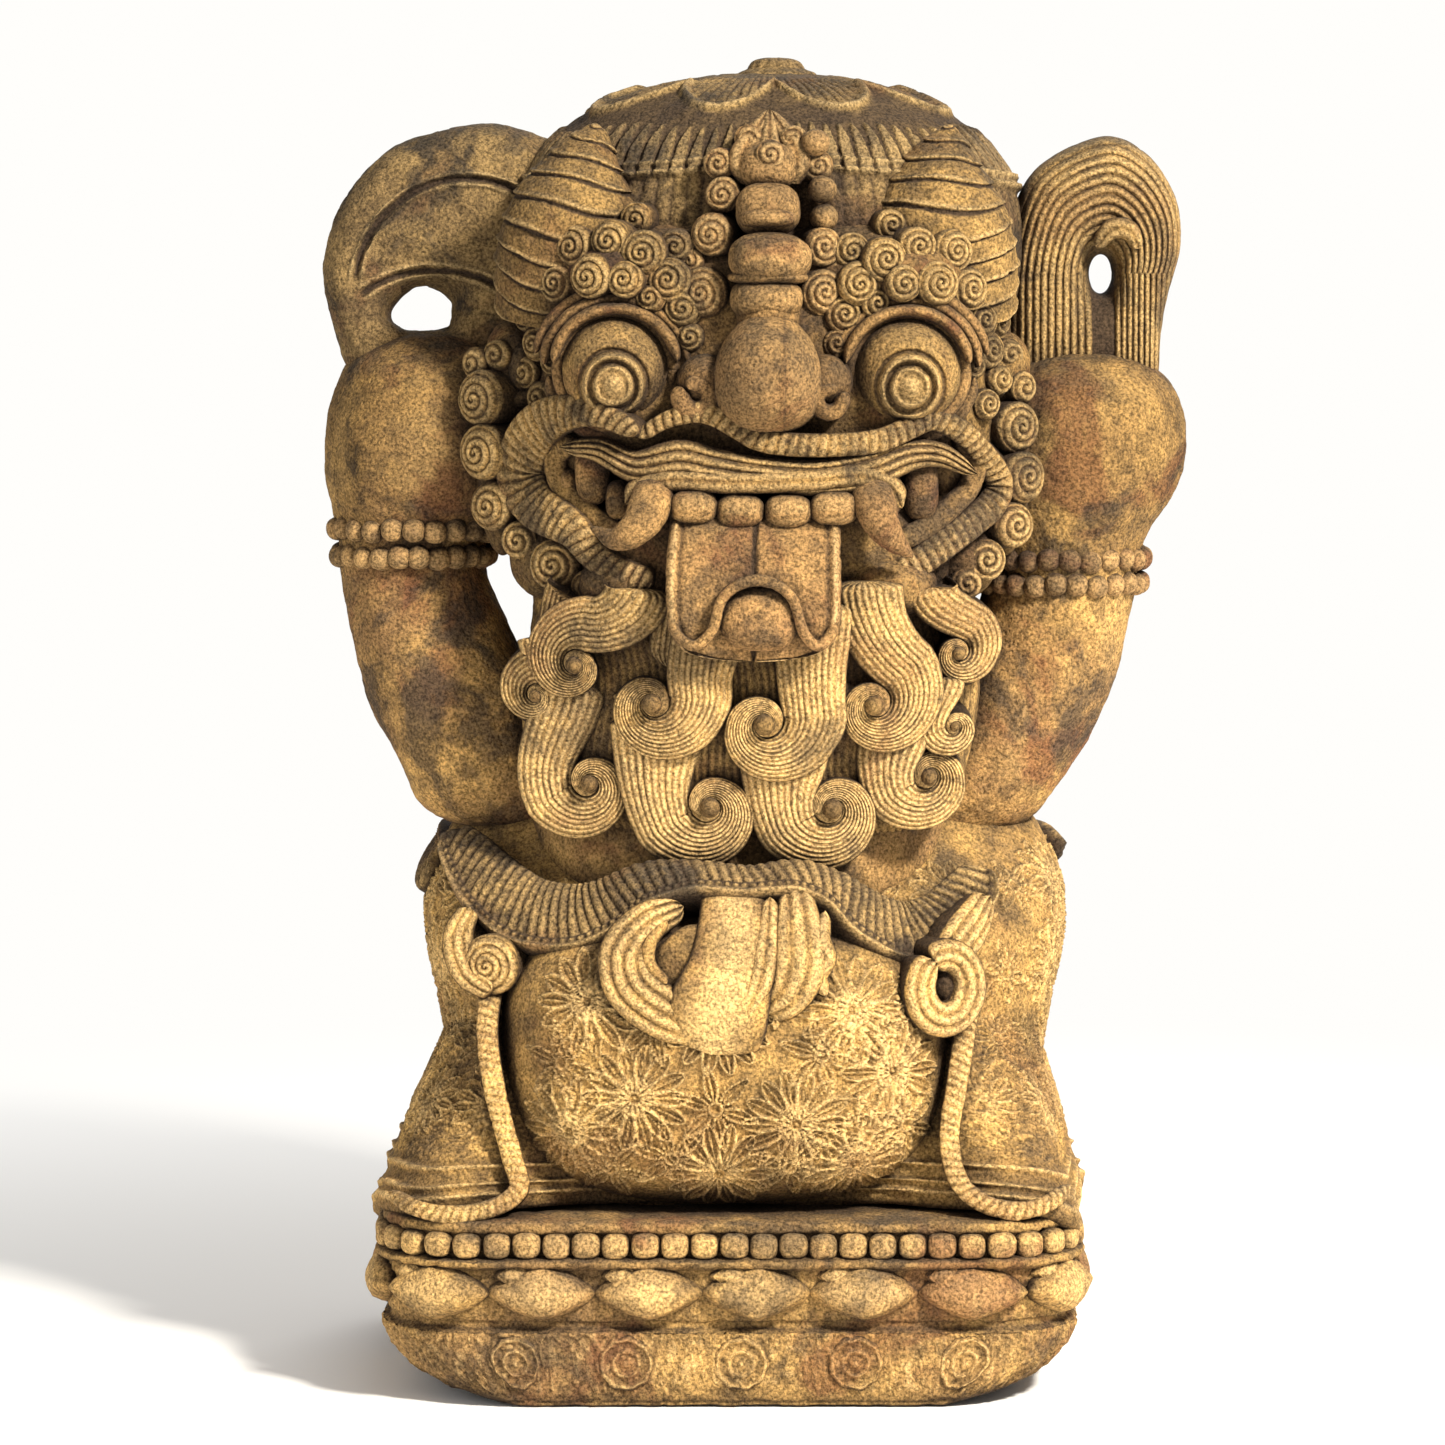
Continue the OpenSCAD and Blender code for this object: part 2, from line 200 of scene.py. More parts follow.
class Carving:
    """One named piece of the statue, made of closed skins."""

    def __init__(self, name):
        self.name = name
        self.points, self.wear, self.quads, self.tris = [], [], [], []
        self.count = 0

    def add(self, P, wear=0.6, closed_rows=False, rough=1.0):
        """The per-point value is 0 in a groove and 1 on a ridge; the stone paints low values as shade and
        high ones as pale wear with a painted highlight.
        """
        wear = np.broadcast_to(np.asarray(wear, float), P.shape[:2])
        P = weather(P, closed_rows, rough)
        rows, cols = P.shape[:2]
        flip = enclosed(P, closed_rows) < 0
        index = np.arange(rows * cols).reshape(rows, cols) + self.count
        a = index if closed_rows else index[:-1]
        b = np.roll(index, -1, axis=0) if closed_rows else index[1:]
        a2, b2 = np.roll(a, -1, axis=1), np.roll(b, -1, axis=1)
        quad = np.stack([a, b, b2, a2], -1).reshape(-1, 4)
        self.quads.append(quad[:, ::-1] if flip else quad)
        self.points.append(P.reshape(-1, 3))
        self.wear.append(wear.reshape(-1))
        self.count += rows * cols
        if not closed_rows:
            for row, outward in ((0, True), (-1, False)):
                ring = index[row]
                nxt = np.roll(ring, -1)
                hub = np.full(cols, self.count)
                tri = np.stack([hub, ring, nxt] if outward else [hub, nxt, ring], -1)
                self.tris.append(tri[:, ::-1] if flip else tri)
                self.points.append(P[row].mean(0)[None])
                self.wear.append(wear[row].mean()[None])
                self.count += 1

    def build(self, material, *nodes):
        """Make the mesh, in place of the CAD nodes named, or of the one that has this piece's name."""
        verts = np.clip(np.vstack(self.points) * MM, cad_box[0], cad_box[1])
        quads = np.vstack(self.quads)
        tris = np.vstack(self.tris) if self.tris else np.zeros((0, 3), int)
        loops = np.concatenate([quads.ravel(), tris.ravel()])
        sizes = np.concatenate([np.full(len(quads), 4), np.full(len(tris), 3)])
        starts = np.concatenate([[0], np.cumsum(sizes)[:-1]])
        mesh = bpy.data.meshes.new(self.name)
        mesh.vertices.add(len(verts))
        mesh.vertices.foreach_set("co", verts.ravel())
        mesh.loops.add(len(loops))
        mesh.loops.foreach_set("vertex_index", loops)
        mesh.polygons.add(len(sizes))
        mesh.polygons.foreach_set("loop_start", starts)
        mesh.polygons.foreach_set("use_smooth", np.ones(len(sizes), bool))
        mesh.update(calc_edges=True)
        # Per-point carving value: the stone paints shade where it is low, and pale wear with a painted
        # highlight where it is high.
        attr = mesh.attributes.new("wear", "FLOAT", "POINT")
        attr.data.foreach_set("value", np.concatenate(self.wear))
        mesh.materials.append(material)
        obj = bpy.data.objects.new(self.name, mesh)
        bpy.context.scene.collection.objects.link(obj)
        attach(obj, BODY)
        nodes = nodes or (self.name.lower(),)
        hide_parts(*nodes)


def carve(name, material, P, wear=0.6, nodes=(), **how):
    """Piece made of one skin."""
    piece = Carving(name)
    piece.add(P, wear, **how)
    piece.build(material, *nodes)


def lifted(P, N, height):
    """A skin moved out along its normals."""
    return P + N * height[..., None]


def loft(table, rows, cols, front=0.0):
    """Stack of rounded outlines; front crowds the columns towards -Y.

    Each row of the table: z, x centre, y centre, half width, half depth, squareness.
    """
    z, x, y, w, d, power = (column[:, None] for column in curve(table, rows).T)
    angle = circle(cols)
    angle = angle - front * np.cos(angle)
    c, s = np.cos(angle), np.sin(angle)
    scale = squared(c, s, np.maximum(power, 1.6))
    x = x + np.maximum(w, 0.5) * c * scale
    y = y + np.maximum(d, 0.5) * s * scale
    return np.stack([x, y, np.broadcast_to(z, x.shape)], -1)


def ball(centre, radii, rows=40, cols=60, power=2.0, front=0.0):
    """Rounded solid, from an ellipsoid (power 2) to a rounded box (power 4). front crowds columns to -Y."""
    phi = np.linspace(0.03, math.pi - 0.03, rows)[:, None]
    theta = circle(cols)[None, :]
    theta = theta - front * np.cos(theta)
    ring = np.sin(phi)
    d = np.stack([ring * np.cos(theta), ring * np.sin(theta), np.cos(phi) + 0 * theta], -1)
    d = d * (np.abs(d) ** power).sum(-1, keepdims=True) ** (-1 / power)
    return np.asarray(centre) + d * np.asarray(radii)


def frames(path, out):
    """Outward and sideways directions along a path."""
    T = unit(np.gradient(path, axis=0))
    O = np.broadcast_to(np.asarray(out, float), path.shape)
    O = unit(O - T * (O * T).sum(-1, keepdims=True))
    return O, np.cross(T, O)


def travelled(path):
    """Distance along a path, as a column."""
    return np.concatenate([[0], np.cumsum(np.linalg.norm(np.diff(path, axis=0), axis=1))])[:, None]


def ribbon(path, half_w, rise, back, relief=None, cols=28, out=(0, -1, 0), dome=0.6):
    """Band that follows a path: domed and carved in front, flat behind. Returns points and wear values, low
    at the band's edges and behind, where the stone paints shade.

    relief takes the distance along, the place across (-1 to 1) and the half width; it gives height and the
    value for pale wear, painted highlight and painted shade.
    """
    O, B = frames(path, out)
    u = np.linspace(-1, 1, cols)[None, :]
    w = np.asarray(half_w, float).reshape(-1, 1) * np.ones((len(path), 1))
    h = np.asarray(rise, float).reshape(-1, 1) * np.ones((len(path), 1))
    s = travelled(path)
    bump, wear = relief(s, u, w) if relief else (0 * s * u, 0.6 + 0 * s * u)
    edge = (1 - u ** 2) ** dome
    lift = h * edge + bump * np.minimum(1, edge * 3)
    front = path[:, None] + B[:, None] * (w * u)[..., None] + O[:, None] * lift[..., None]
    v = np.array([0.9, 0.3, -0.3, -0.9])[None, :]
    behind = path[:, None] + B[:, None] * (w * v)[..., None] - O[:, None] * back
    P = np.concatenate([front, behind], 1)
    # The flat back and the band's edges get low values, which the stone paints as shade where the band meets
    # the surface.
    dark = np.zeros((len(path), 4)) + 0.25
    shade = np.clip(wear * (0.35 + 0.65 * np.minimum(1, edge * 2.2)), 0, 1)
    return P, np.concatenate([np.broadcast_to(shade, lift.shape), dark], 1)


def grooves(count, depth, sharp=0.55):
    """Parallel grooves that run along a ribbon."""
    def relief(s, u, w):
        ridge = ridged(math.pi * count * (u + 1) / 2, sharp) + 0 * s
        return depth * (ridge - 1) * np.minimum(1, w / (count * 0.9)), 0.15 + 0.75 * ridge
    return relief


def ribs(pitch, depth, slant=0.0, sharp=0.6):
    """Ribs that run across a ribbon, one every pitch mm, slanted by slant mm at the edges."""
    def relief(s, u, w):
        ridge = ridged(math.pi * (s + slant * u) / pitch, sharp)
        return depth * (ridge - 1), 0.15 + 0.75 * ridge
    return relief


def round_ends(n, first, last):
    """Factor for half widths that rounds the ends, over fractions first and last of the length."""
    t = np.linspace(0, 1, n)
    f = np.ones(n)
    for from_end, part in ((t, first), (1 - t, last)):
        if part:
            f *= np.sqrt(np.clip(1 - (1 - np.minimum(from_end / part, 1)) ** 2, 0.002, 1))
    return f


def tube(points, radii, rows, cols, squash):
    """Round limb along a smooth path, its thickness from front to back scaled by squash."""
    path = curve(points, rows)
    O, B = frames(path, (0, -1, 0))
    r = (profile(radii, rows) * round_ends(rows, 0.06, 0.06))[:, None, None]
    a = circle(cols)[None, :, None]
    return path[:, None] + B[:, None] * np.cos(a) * r + O[:, None] * np.sin(a) * r * squash


# -------- spiral locks

Q = 0.63                                         # half width of a spiral band over its radius
DECAY = math.log((1 + Q) / (1 - Q)) / TAU        # so that each turn touches the next
TURNS = 1.9                                      # windings of a spiral
LIFT = 5.0                                       # how far its eye stands out in front of its strand


def lock(piece, start, centre, radius, join, turn, depth_at, start_w, n_grooves):
    """Lock of hair that leaves start and winds into a spiral round centre, both as (x, z).

    join is the angle at which the strand meets the spiral and turn is +1 or -1, seen from the front.
    """
    r0 = radius / (1 + Q)
    a0 = math.radians(join)
    theta = np.linspace(0, TURNS * TAU, int(70 * TURNS))
    r = r0 * np.exp(-DECAY * theta)
    a = a0 + turn * theta
    spiral = np.stack([centre[0] + r * np.cos(a), centre[1] + r * np.sin(a)], -1)
    heading = turn * np.array([-math.sin(a0), math.cos(a0)])
    end = spiral[0]
    start = np.asarray(start, float)
    reach = np.linalg.norm(end - start)
    p1 = start + np.array([0, -1]) * reach * 0.30
    p2 = end - heading * reach * 0.4
    t = np.linspace(0, 1, 40, endpoint=False)[:, None]
    lead = (1 - t) ** 3 * start + 3 * (1 - t) ** 2 * t * p1 + 3 * (1 - t) * t ** 2 * p2 + t ** 3 * end
    flat = np.vstack([lead, spiral])
    w0 = Q * r0
    ease = smoothstep(t[:, 0], 0, 1)
    half = np.concatenate([start_w + (w0 - start_w) * ease, Q * r])
    half[:4] *= np.array([0.35, 0.7, 0.88, 0.97])
    raised = np.concatenate([0.5 * LIFT * (t[:, 0] - 1), LIFT * theta / theta[-1]])
    y = depth_at(flat[:, 0], flat[:, 1]) - raised
    path = np.stack([flat[:, 0], y, flat[:, 1]], -1)
    P, wear = ribbon(path, half * 1.04, half * 0.42 + 2.0, 22, grooves(n_grooves, 1.5),
                     cols=max(16, int(6.4 * n_grooves)), dome=0.4)
    piece.add(P, wear, rough=0.55)
    core = 0.13 * radius
    hub = float(depth_at(centre[0], centre[1])) - LIFT
    piece.add(ball((centre[0], hub, centre[1]), (core, 1.6 * core, core), 16, 20), 0.3, rough=0.3)


def snail(piece, x, z, r, turn, y, pitch, depth, back, dome, phase=0.0, lean=0.0):
    """Round curl: a domed disc whose face is cut by a spiral groove depth mm deep, one turn every pitch mm.

    dome is its bulge over its radius, back how far it reaches into the stone, and lean turns it towards +X.
    """
    rho = np.linspace(0.02, 1, max(14, int(r * 2.2)))[:, None]
    phi = circle(max(30, int(r * 5)))[None, :]
    ridge = ridged(math.pi * (rho * r / pitch + turn * phi / TAU + phase))
    out = r * dome * (1 - rho ** 2.2) ** 0.6 + depth * (ridge - 1) * (1 - rho ** 8)
    reach = r * (1 + 0.05 * np.cos(phi - turn * 0.9)) * rho
    a = math.radians(lean)
    across = np.array([math.cos(a), math.sin(a), 0])
    outward = np.array([math.sin(a), -math.cos(a), 0])
    up = np.array([0, 0, 1.0])
    face = np.array([x, y, z]) + (reach * np.cos(phi))[..., None] * across
    face = face + (reach * np.sin(phi))[..., None] * up + out[..., None] * outward
    rim = face[-1:]
    side = [rim - outward * step for step in (1.5, back * 0.5, back)]
    # The curl's sides into the stone get low values, which the stone paints as shade round each curl.
    wear = np.vstack([0.12 + 0.78 * ridge + 0 * rho, 0.35 + 0 * phi, 0.2 + 0 * phi, 0.2 + 0 * phi])
    piece.add(np.concatenate([face] + side), wear, rough=0.5)


# -------- surfaces that details sit on

FACE_X = 6.0                                     # the middle of the face stands a little to the right
EYES = (("left", -77, 572, -1), ("right", 84, 571, 1))      # side, x, z, direction away from the nose


def face_y(x, z):
    """Depth of the front of the face."""
    u = (x - FACE_X) / 152.0
    v = (z - 545) / 135.0
    return -8 - 116 * np.sqrt(np.maximum(0.12, 1 - np.abs(u) ** 2.6 - v ** 2 * 0.5))


def brow_push(x, z):
    """How far the brow bulges out above each eye."""
    return sum(30 * np.exp(-((x - centre) / 42) ** 2 - ((z - 631) / 24) ** 2) for centre in (-89, 96))


def beard_y(x, z):
    """Depth of the front of the beard."""
    u = (x + 2) / 148.0
    return -52 - 66 * np.sqrt(np.maximum(0.1, 1 - u ** 2)) - 0.10 * (z - 320)


# -------- relief patterns

def petals_round(a, b, count, turn=0.0):
    """Distance from the centre and angle from the nearest of count spokes."""
    phi = np.arctan2(b, a) + turn
    step = TAU / count
    return np.hypot(a, b), (phi / step - np.round(phi / step)) * step


def rosette(a, b, size, rays=14, ring=3.4):
    """Raised flower: a ring and leaf-shaped rays. a and b are distances from its centre; returns 0 to 1."""
    r, nearest = petals_round(a, b, rays)
    step = TAU / rays
    length = np.clip((r - ring * 1.2) / (size - ring * 1.2), 0, 1)
    half = 0.62 * step * np.sin(math.pi * length) ** 0.8 * 0.75
    outline = line_at(r * (np.abs(nearest) - half), 0.8)
    midrib = 0.8 * line_at(r * nearest, 0.55)
    rays_on = np.where((r > ring * 1.2) & (r < size), np.maximum(outline, midrib), 0)
    ring_on = np.maximum(line_at(r - ring, 0.8), line_at(r, 1.0))
    return np.maximum(rays_on, ring_on)


def leaves(a, b, size, blades=6, turn=0.3):
    """Serrated lance leaves round a small ring."""
    r, near = petals_round(a, b, blades, turn)
    length = np.clip((r - 4) / (size - 4), 0, 1)
    edge = 0.30 * size * np.sin(math.pi * length) ** 0.9 * (0.55 - 0.3 * length)
    edge = edge + 0.7 * np.abs(np.sin(r * 1.5)) * (length > 0)
    side = r * np.abs(np.sin(near))
    on = np.maximum(line_at(side - edge, 0.7), 0.8 * line_at(side, 0.5))
    on = np.where((r > 5) & (r < size) & (np.cos(near) > 0), on, 0)
    return np.maximum(on, line_at(r - 3.6, 0.9))


def stamp(P, N, at, pattern, size):
    """Pattern seen square on, centred on the skin point nearest to at. Returns an array like P's grid."""
    gap = np.linalg.norm(P - np.asarray(at), axis=-1)
    i, j = np.unravel_index(np.argmin(gap), gap.shape)
    n = N[i, j]
    side = unit(np.cross([0, 0, 1.0], n))
    up = np.cross(n, side)
    rel = P - P[i, j]
    value = pattern(rel @ side, rel @ up, size)
    near = (np.linalg.norm(rel, axis=-1) < size * 1.15) & ((N @ n) > 0.2)
    return np.where(near, value, 0)


def vines(P, size, seed):
    """Scrolling tendrils: contour lines of a smooth noise field."""
    field = noise(P, size, seed) * 2.6 + noise(P, size * 0.45, seed + 1) * 0.8
    ridge = np.abs((field * 1.7) % 1.0 - 0.5) * 2
    return smoothstep(ridge, 0.50, 0.86)


# -------- stone

def mix(tree, factor, a, b, blend="MIX"):
    """Colour mix; factor, a and b are sockets or constants."""
    n = tree.nodes.new("ShaderNodeMix")
    n.data_type = "RGBA"
    n.blend_type = blend
    for socket, value in ((n.inputs[0], factor), (n.inputs[6], a), (n.inputs[7], b)):
        if hasattr(value, "is_linked"):
            tree.links.new(value, socket)
        else:
            socket.default_value = value
    return n.outputs[2]


def ramp(tree, value, *stops):
    """Grey ramp of (position, value) stops."""
    n = tree.nodes.new("ShaderNodeValToRGB")
    tree.links.new(value, n.inputs[0])
    el = n.color_ramp.elements
    while len(el) < len(stops):
        el.new(0.5)
    for e, (pos, level) in zip(el, stops):
        e.position = pos
        e.color = (level, level, level, 1)
    return n.outputs[0]


def tex(tree, coord, scale, detail, rough, offset, distort=0.0):
    """Noise whose pattern is moved by offset, so that no two materials are alike."""
    n = tree.nodes.new("ShaderNodeTexNoise")
    mapping = tree.nodes.new("ShaderNodeMapping")
    mapping.inputs["Location"].default_value = (offset, offset * 0.7, offset * 1.3)
    tree.links.new(coord, mapping.inputs[0])
    tree.links.new(mapping.outputs[0], n.inputs["Vector"])
    for name, value in (("Scale", scale), ("Detail", detail), ("Roughness", rough), ("Distortion", distort)):
        n.inputs[name].default_value = value
    return n.outputs["Fac"]


def z_of(tree, vector):
    """Upward part of a vector."""
    n = tree.nodes.new("ShaderNodeSeparateXYZ")
    tree.links.new(vector, n.inputs[0])
    return n.outputs["Z"]


DARK = (0.090, 0.058, 0.034, 1)
# Pale straw of the worn ridges and of their painted highlight.
STRAW = (1.0, 0.71, 0.34, 1)
RUST = (0.20, 0.062, 0.032, 1)
SOOT = (0.060, 0.047, 0.036, 1)
ALGAE = (0.105, 0.082, 0.055, 1)
# Dark browns of the painted shade and dirt in grooves, and of the painted shade in corners.
GROOVE_DIRT_AND_SHADE = (0.050, 0.032, 0.020, 1)
CORNER_SHADE = (0.042, 0.026, 0.016, 1)


def fresh_colour(t, coord, wear, light, mid, seed):
    """Ochre and grey patches with a dark mottle, and pale ridges that are partly wear and partly painted
    highlight.
    """
    patches = ramp(t, tex(t, coord, 9, 5, 0.6, seed), (0.40, 0.0), (0.58, 1.0))
    mottle = ramp(t, tex(t, coord, 60, 7, 0.72, seed + 3), (0.38, 0.0), (0.56, 1.0))
    colour = mix(t, patches, mid, light)
    colour = mix(t, mottle, mix(t, 0.55, colour, DARK), colour)
    # Ridges turn pale straw: partly real wear, partly a painted highlight.
    worn_and_lit = ramp(t, wear, (0.58, 0.0), (0.95, 0.75))
    pale = tuple(0.45 * c + 0.55 * straw for c, straw in zip(light, STRAW))
    return mix(t, worn_and_lit, colour, pale)


def weathered(t, coord, colour, rust, grime, seed):
    """Rusty stains, soot, algae on what faces up, and a darker upper half."""
    stain = ramp(t, tex(t, coord, 13, 4, 0.6, seed + 11, 0.6), (0.54, 0.0), (0.62, rust))
    colour = mix(t, stain, colour, RUST)
    soot = ramp(t, tex(t, coord, 17, 6, 0.7, seed + 7, 0.4), (0.50, 0.0), (0.60, grime))
    colour = mix(t, soot, colour, SOOT)
    normal = t.nodes.new("ShaderNodeNewGeometry").outputs["Normal"]
    upward = ramp(t, z_of(t, normal), (0.25, 0.0), (0.95, 0.8))
    algae = ramp(t, tex(t, coord, 34, 6, 0.7, seed + 9), (0.40, 0.15), (0.60, 1.0))
    colour = mix(t, mix(t, 1.0, upward, algae, "MULTIPLY"), colour, ALGAE)
    aged = ramp(t, z_of(t, coord), (0.36, 1.0), (0.53, 0.55))
    return mix(t, 1.0, colour, aged, "MULTIPLY")


def shaded(t, colour, wear, grain):
    """Painted shade and dirt in carved grooves, painted shade in corners from ambient occlusion, and dark and
    light grains.
    """
    # Painted shade and dirt where the carving value is low: grooves, band edges and hidden sides.
    groove_dirt_and_shade = ramp(t, wear, (0.12, 0.95), (0.52, 0.0))
    colour = mix(t, groove_dirt_and_shade, colour, GROOVE_DIRT_AND_SHADE)
    # Painted shade in corners and between parts, from ambient occlusion.
    ao = t.nodes.new("ShaderNodeAmbientOcclusion")
    ao.samples = 6
    ao.inputs["Distance"].default_value = 0.022
    corner_shade = ramp(t, ao.outputs["AO"], (0.28, 0.92), (0.80, 0.0))
    colour = mix(t, corner_shade, colour, CORNER_SHADE)
    speck = ramp(t, grain, (0.37, 0.30), (0.62, 1.18))
    return mix(t, 1.0, colour, speck, "MULTIPLY")


def pitted(t, coord, grain, seed):
    """Bump of fine pits and grains."""
    pits = t.nodes.new("ShaderNodeTexVoronoi")
    pits.inputs["Scale"].default_value = 330
    t.links.new(coord, pits.inputs["Vector"])
    pit_depth = ramp(t, pits.outputs["Distance"], (0.08, 0.0), (0.42, 1.0))
    height = mix(t, 0.5, tex(t, coord, 190, 5, 0.75, seed + 2), pit_depth)
    bump = t.nodes.new("ShaderNodeBump")
    bump.inputs["Strength"].default_value = 0.9
    bump.inputs["Distance"].default_value = 0.0016
    t.links.new(mix(t, 0.35, height, grain), bump.inputs["Height"])
    return bump.outputs[0]


def stone(name, light, mid, rust, grime, seed):
    """Weathered tuff, light in some patches and mid in others; rust and grime say how stained it is."""
    m = bpy.data.materials.new(name)
    m.use_nodes = True
    t = m.node_tree
    coord = t.nodes.new("ShaderNodeTexCoord").outputs["Object"]
    # The carving value: low for painted shade in grooves and on hidden sides, high for pale wear with a
    # painted highlight.
    attribute = t.nodes.new("ShaderNodeAttribute")
    attribute.attribute_name = "wear"
    wear = attribute.outputs["Fac"]
    grain = tex(t, coord, 560, 3, 0.75, seed + 5)
    colour = fresh_colour(t, coord, wear, light, mid, seed)
    colour = weathered(t, coord, colour, rust, grime, seed)
    colour = shaded(t, colour, wear, grain)
    bsdf = t.nodes["Principled BSDF"]
    t.links.new(colour, bsdf.inputs["Base Color"])
    bsdf.inputs["Roughness"].default_value = 0.93
    bsdf.inputs["Specular IOR Level"].default_value = 0.18
    t.links.new(pitted(t, coord, grain, seed), bsdf.inputs["Normal"])
    return m


SKIN = stone("stone_body", (0.70, 0.415, 0.135, 1), (0.38, 0.215, 0.085, 1), rust=0.6, grime=0.75, seed=1.0)
CLOTH = stone("stone_cloth", (0.84, 0.505, 0.155, 1), (0.53, 0.31, 0.105, 1), rust=0.3, grime=0.42, seed=4.0)
BASE = stone("stone_base", (0.72, 0.435, 0.145, 1), (0.41, 0.24, 0.095, 1), rust=0.55, grime=0.6, seed=9.0)
CROWN = stone("stone_crown", (0.62, 0.40, 0.155, 1), (0.31, 0.20, 0.09, 1), rust=0.35, grime=0.85, seed=13.0)
HAIR = stone("stone_hair", (0.74, 0.45, 0.15, 1), (0.45, 0.27, 0.095, 1), rust=0.3, grime=0.55, seed=17.0)
DETAIL = stone("stone_detail", (0.72, 0.415, 0.15, 1), (0.41, 0.225, 0.09, 1), rust=0.65, grime=0.6, seed=21)


# -------- plinth

PX, PW, PD = -14.0, 200.0, 166.0                 # middle, half width and half depth
FOOT = 45.0                                      # height below which the sides round in
TUCK = 84.0                                      # how far they have come in at the floor
TUCK_FROM = 105.0                                # distance from the middle where that begins


def plinth_ring(z, inset, corner=62.0, cols=860):
    """Rounded rectangle outline at height z."""
    w, d, r = PW - corner, PD - corner, corner - inset
    q = r * math.pi / 2
    s = np.linspace(0, 4 * (w + d) + 4 * q, cols, endpoint=False)
    lengths = [2 * d, q, 2 * w, q, 2 * d, q, 2 * w, q]
    centres = [(w, 0), (w, d), (0, d), (-w, d), (-w, 0), (-w, -d), (0, -d), (w, -d)]
    out = np.zeros((cols, 2))
    begin = 0.0
    for k, (length, c) in enumerate(zip(lengths, centres)):
        on = (s >= begin) & (s < begin + length)
        f = (s[on] - begin) / length
        base = math.radians(90 * (k // 2))
        if k % 2:
            a = base + f * math.pi / 2
            out[on] = np.stack([c[0] + r * np.cos(a), c[1] + r * np.sin(a)], -1)
        else:
            n = np.array([math.cos(base), math.sin(base)])
            side = np.array([-n[1], n[0]])
            half = (d if k % 4 == 0 else w)
            mid = np.array([c[0] * abs(n[0]), c[1] * abs(n[1])])
            out[on] = mid + n * r + side * ((2 * f - 1) * half)[:, None]
        begin += length
    return np.column_stack([out[:, 0] + PX, out[:, 1], np.full(cols, float(z))])


def tuck(P):
    """Round the plinth's sides in towards its foot."""
    low = np.clip(1 - P[..., 2] / FOOT, 0, 1)
    pull = TUCK * (1 - np.sqrt(1 - low * low))
    beside = P[..., 0] - PX
    edge = np.clip((np.abs(beside) - TUCK_FROM) / (PW - TUCK_FROM), 0, 1)
    x = P[..., 0] - np.sign(beside) * pull * edge
    return np.stack([x, P[..., 1], P[..., 2]], -1)


def around(count, z, inset):
    """Places round the plinth: point and outward direction."""
    cols = 1440
    ring = plinth_ring(z, inset, cols=cols)
    for k in range(count):
        i = int(round((k + 0.5) * cols / count)) % cols
        tangent = unit(ring[(i + 3) % cols] - ring[i - 3])
        yield ring[i], np.array([tangent[1], -tangent[0], 0.0])


def turned(P, origin, outward):
    """A skin made facing -Y at the origin, turned to face outward and moved to origin."""
    side = np.array([-outward[1], outward[0], 0.0])
    x, y, z = P[..., 0:1], P[..., 1:2], P[..., 2:3]
    return np.asarray(origin) + x * side - y * outward + z * np.array([0, 0, 1.0])


def make_plinth():
    """Moulded block. The profile is height and inset, from the foot to the top."""
    moulding = [(0.3, 30), (0.8, 9), (3, 6.5), (9, 5.2), (38, 5.2), (42, 5.6), (44.5, 9), (47, 9.5), (49, 8),
                (55, 7.4), (74, 7.4), (77, 5), (79, 1.2), (82, 1.0), (83.6, 4.5), (85, 9.5), (95, 9.5),
                (97.5, 6.5), (101, 6.0), (103.3, 8.5), (104, 18), (104.2, 60)]
    P = tuck(np.array([plinth_ring(z, min(inset, 60)) for z, inset in curve(moulding, 150)]))
    z = P[..., 2]
    relief = vines(P, 21, 31) * between(z, 6, 10, 40, 43)
    relief = relief + 0.5 * vines(P, 15, 37) * between(z, 51, 54, 73, 76)
    carve("Plinth", BASE, lifted(P, grid_normals(P), 1.5 * relief), 0.42 + 0.35 * relief, rough=1.3)


def make_bead_course():
    beads = Carving("Plinth_bead_course")
    for k, (p, n) in enumerate(around(80, 90.2, 7.5)):
        jitter = 0.5 * math.sin(k * 2.7)
        b = ball((0, 0, 0), (7.8 + 0.4 * jitter, 6.8, 7.2), 16, 24, 3.0)
        beads.add(turned(b, p + np.array([0, 0, 0.5 * jitter]), n), 0.7, rough=0.8)
    beads.build(BASE)


def make_petals():
    """A row of broad petals, with the tip of another behind each gap."""
    petals = Carving("Plinth_petals")
    for p, n in around(22, 65, 8):
        petals.add(*petal(p, n, 31, 16.5, 12.5))
    for p, n in list(around(44, 74, 7))[::2]:
        petals.add(*petal(p, n, 12, 7.5, 6.0))
    petals.build(BASE)


def make_medallions():
    """Round flowers on the front, the back and the sides, but not on the corners."""
    rounds = Carving("Plinth_medallions")
    for p, n in around(21, 25, 5.5):
        if not 0.3 <= abs(n[0]) <= 0.9:
            disc, wear = medallion(p, n, 15.5)
            rounds.add(tuck(disc), wear)
    rounds.build(BASE)


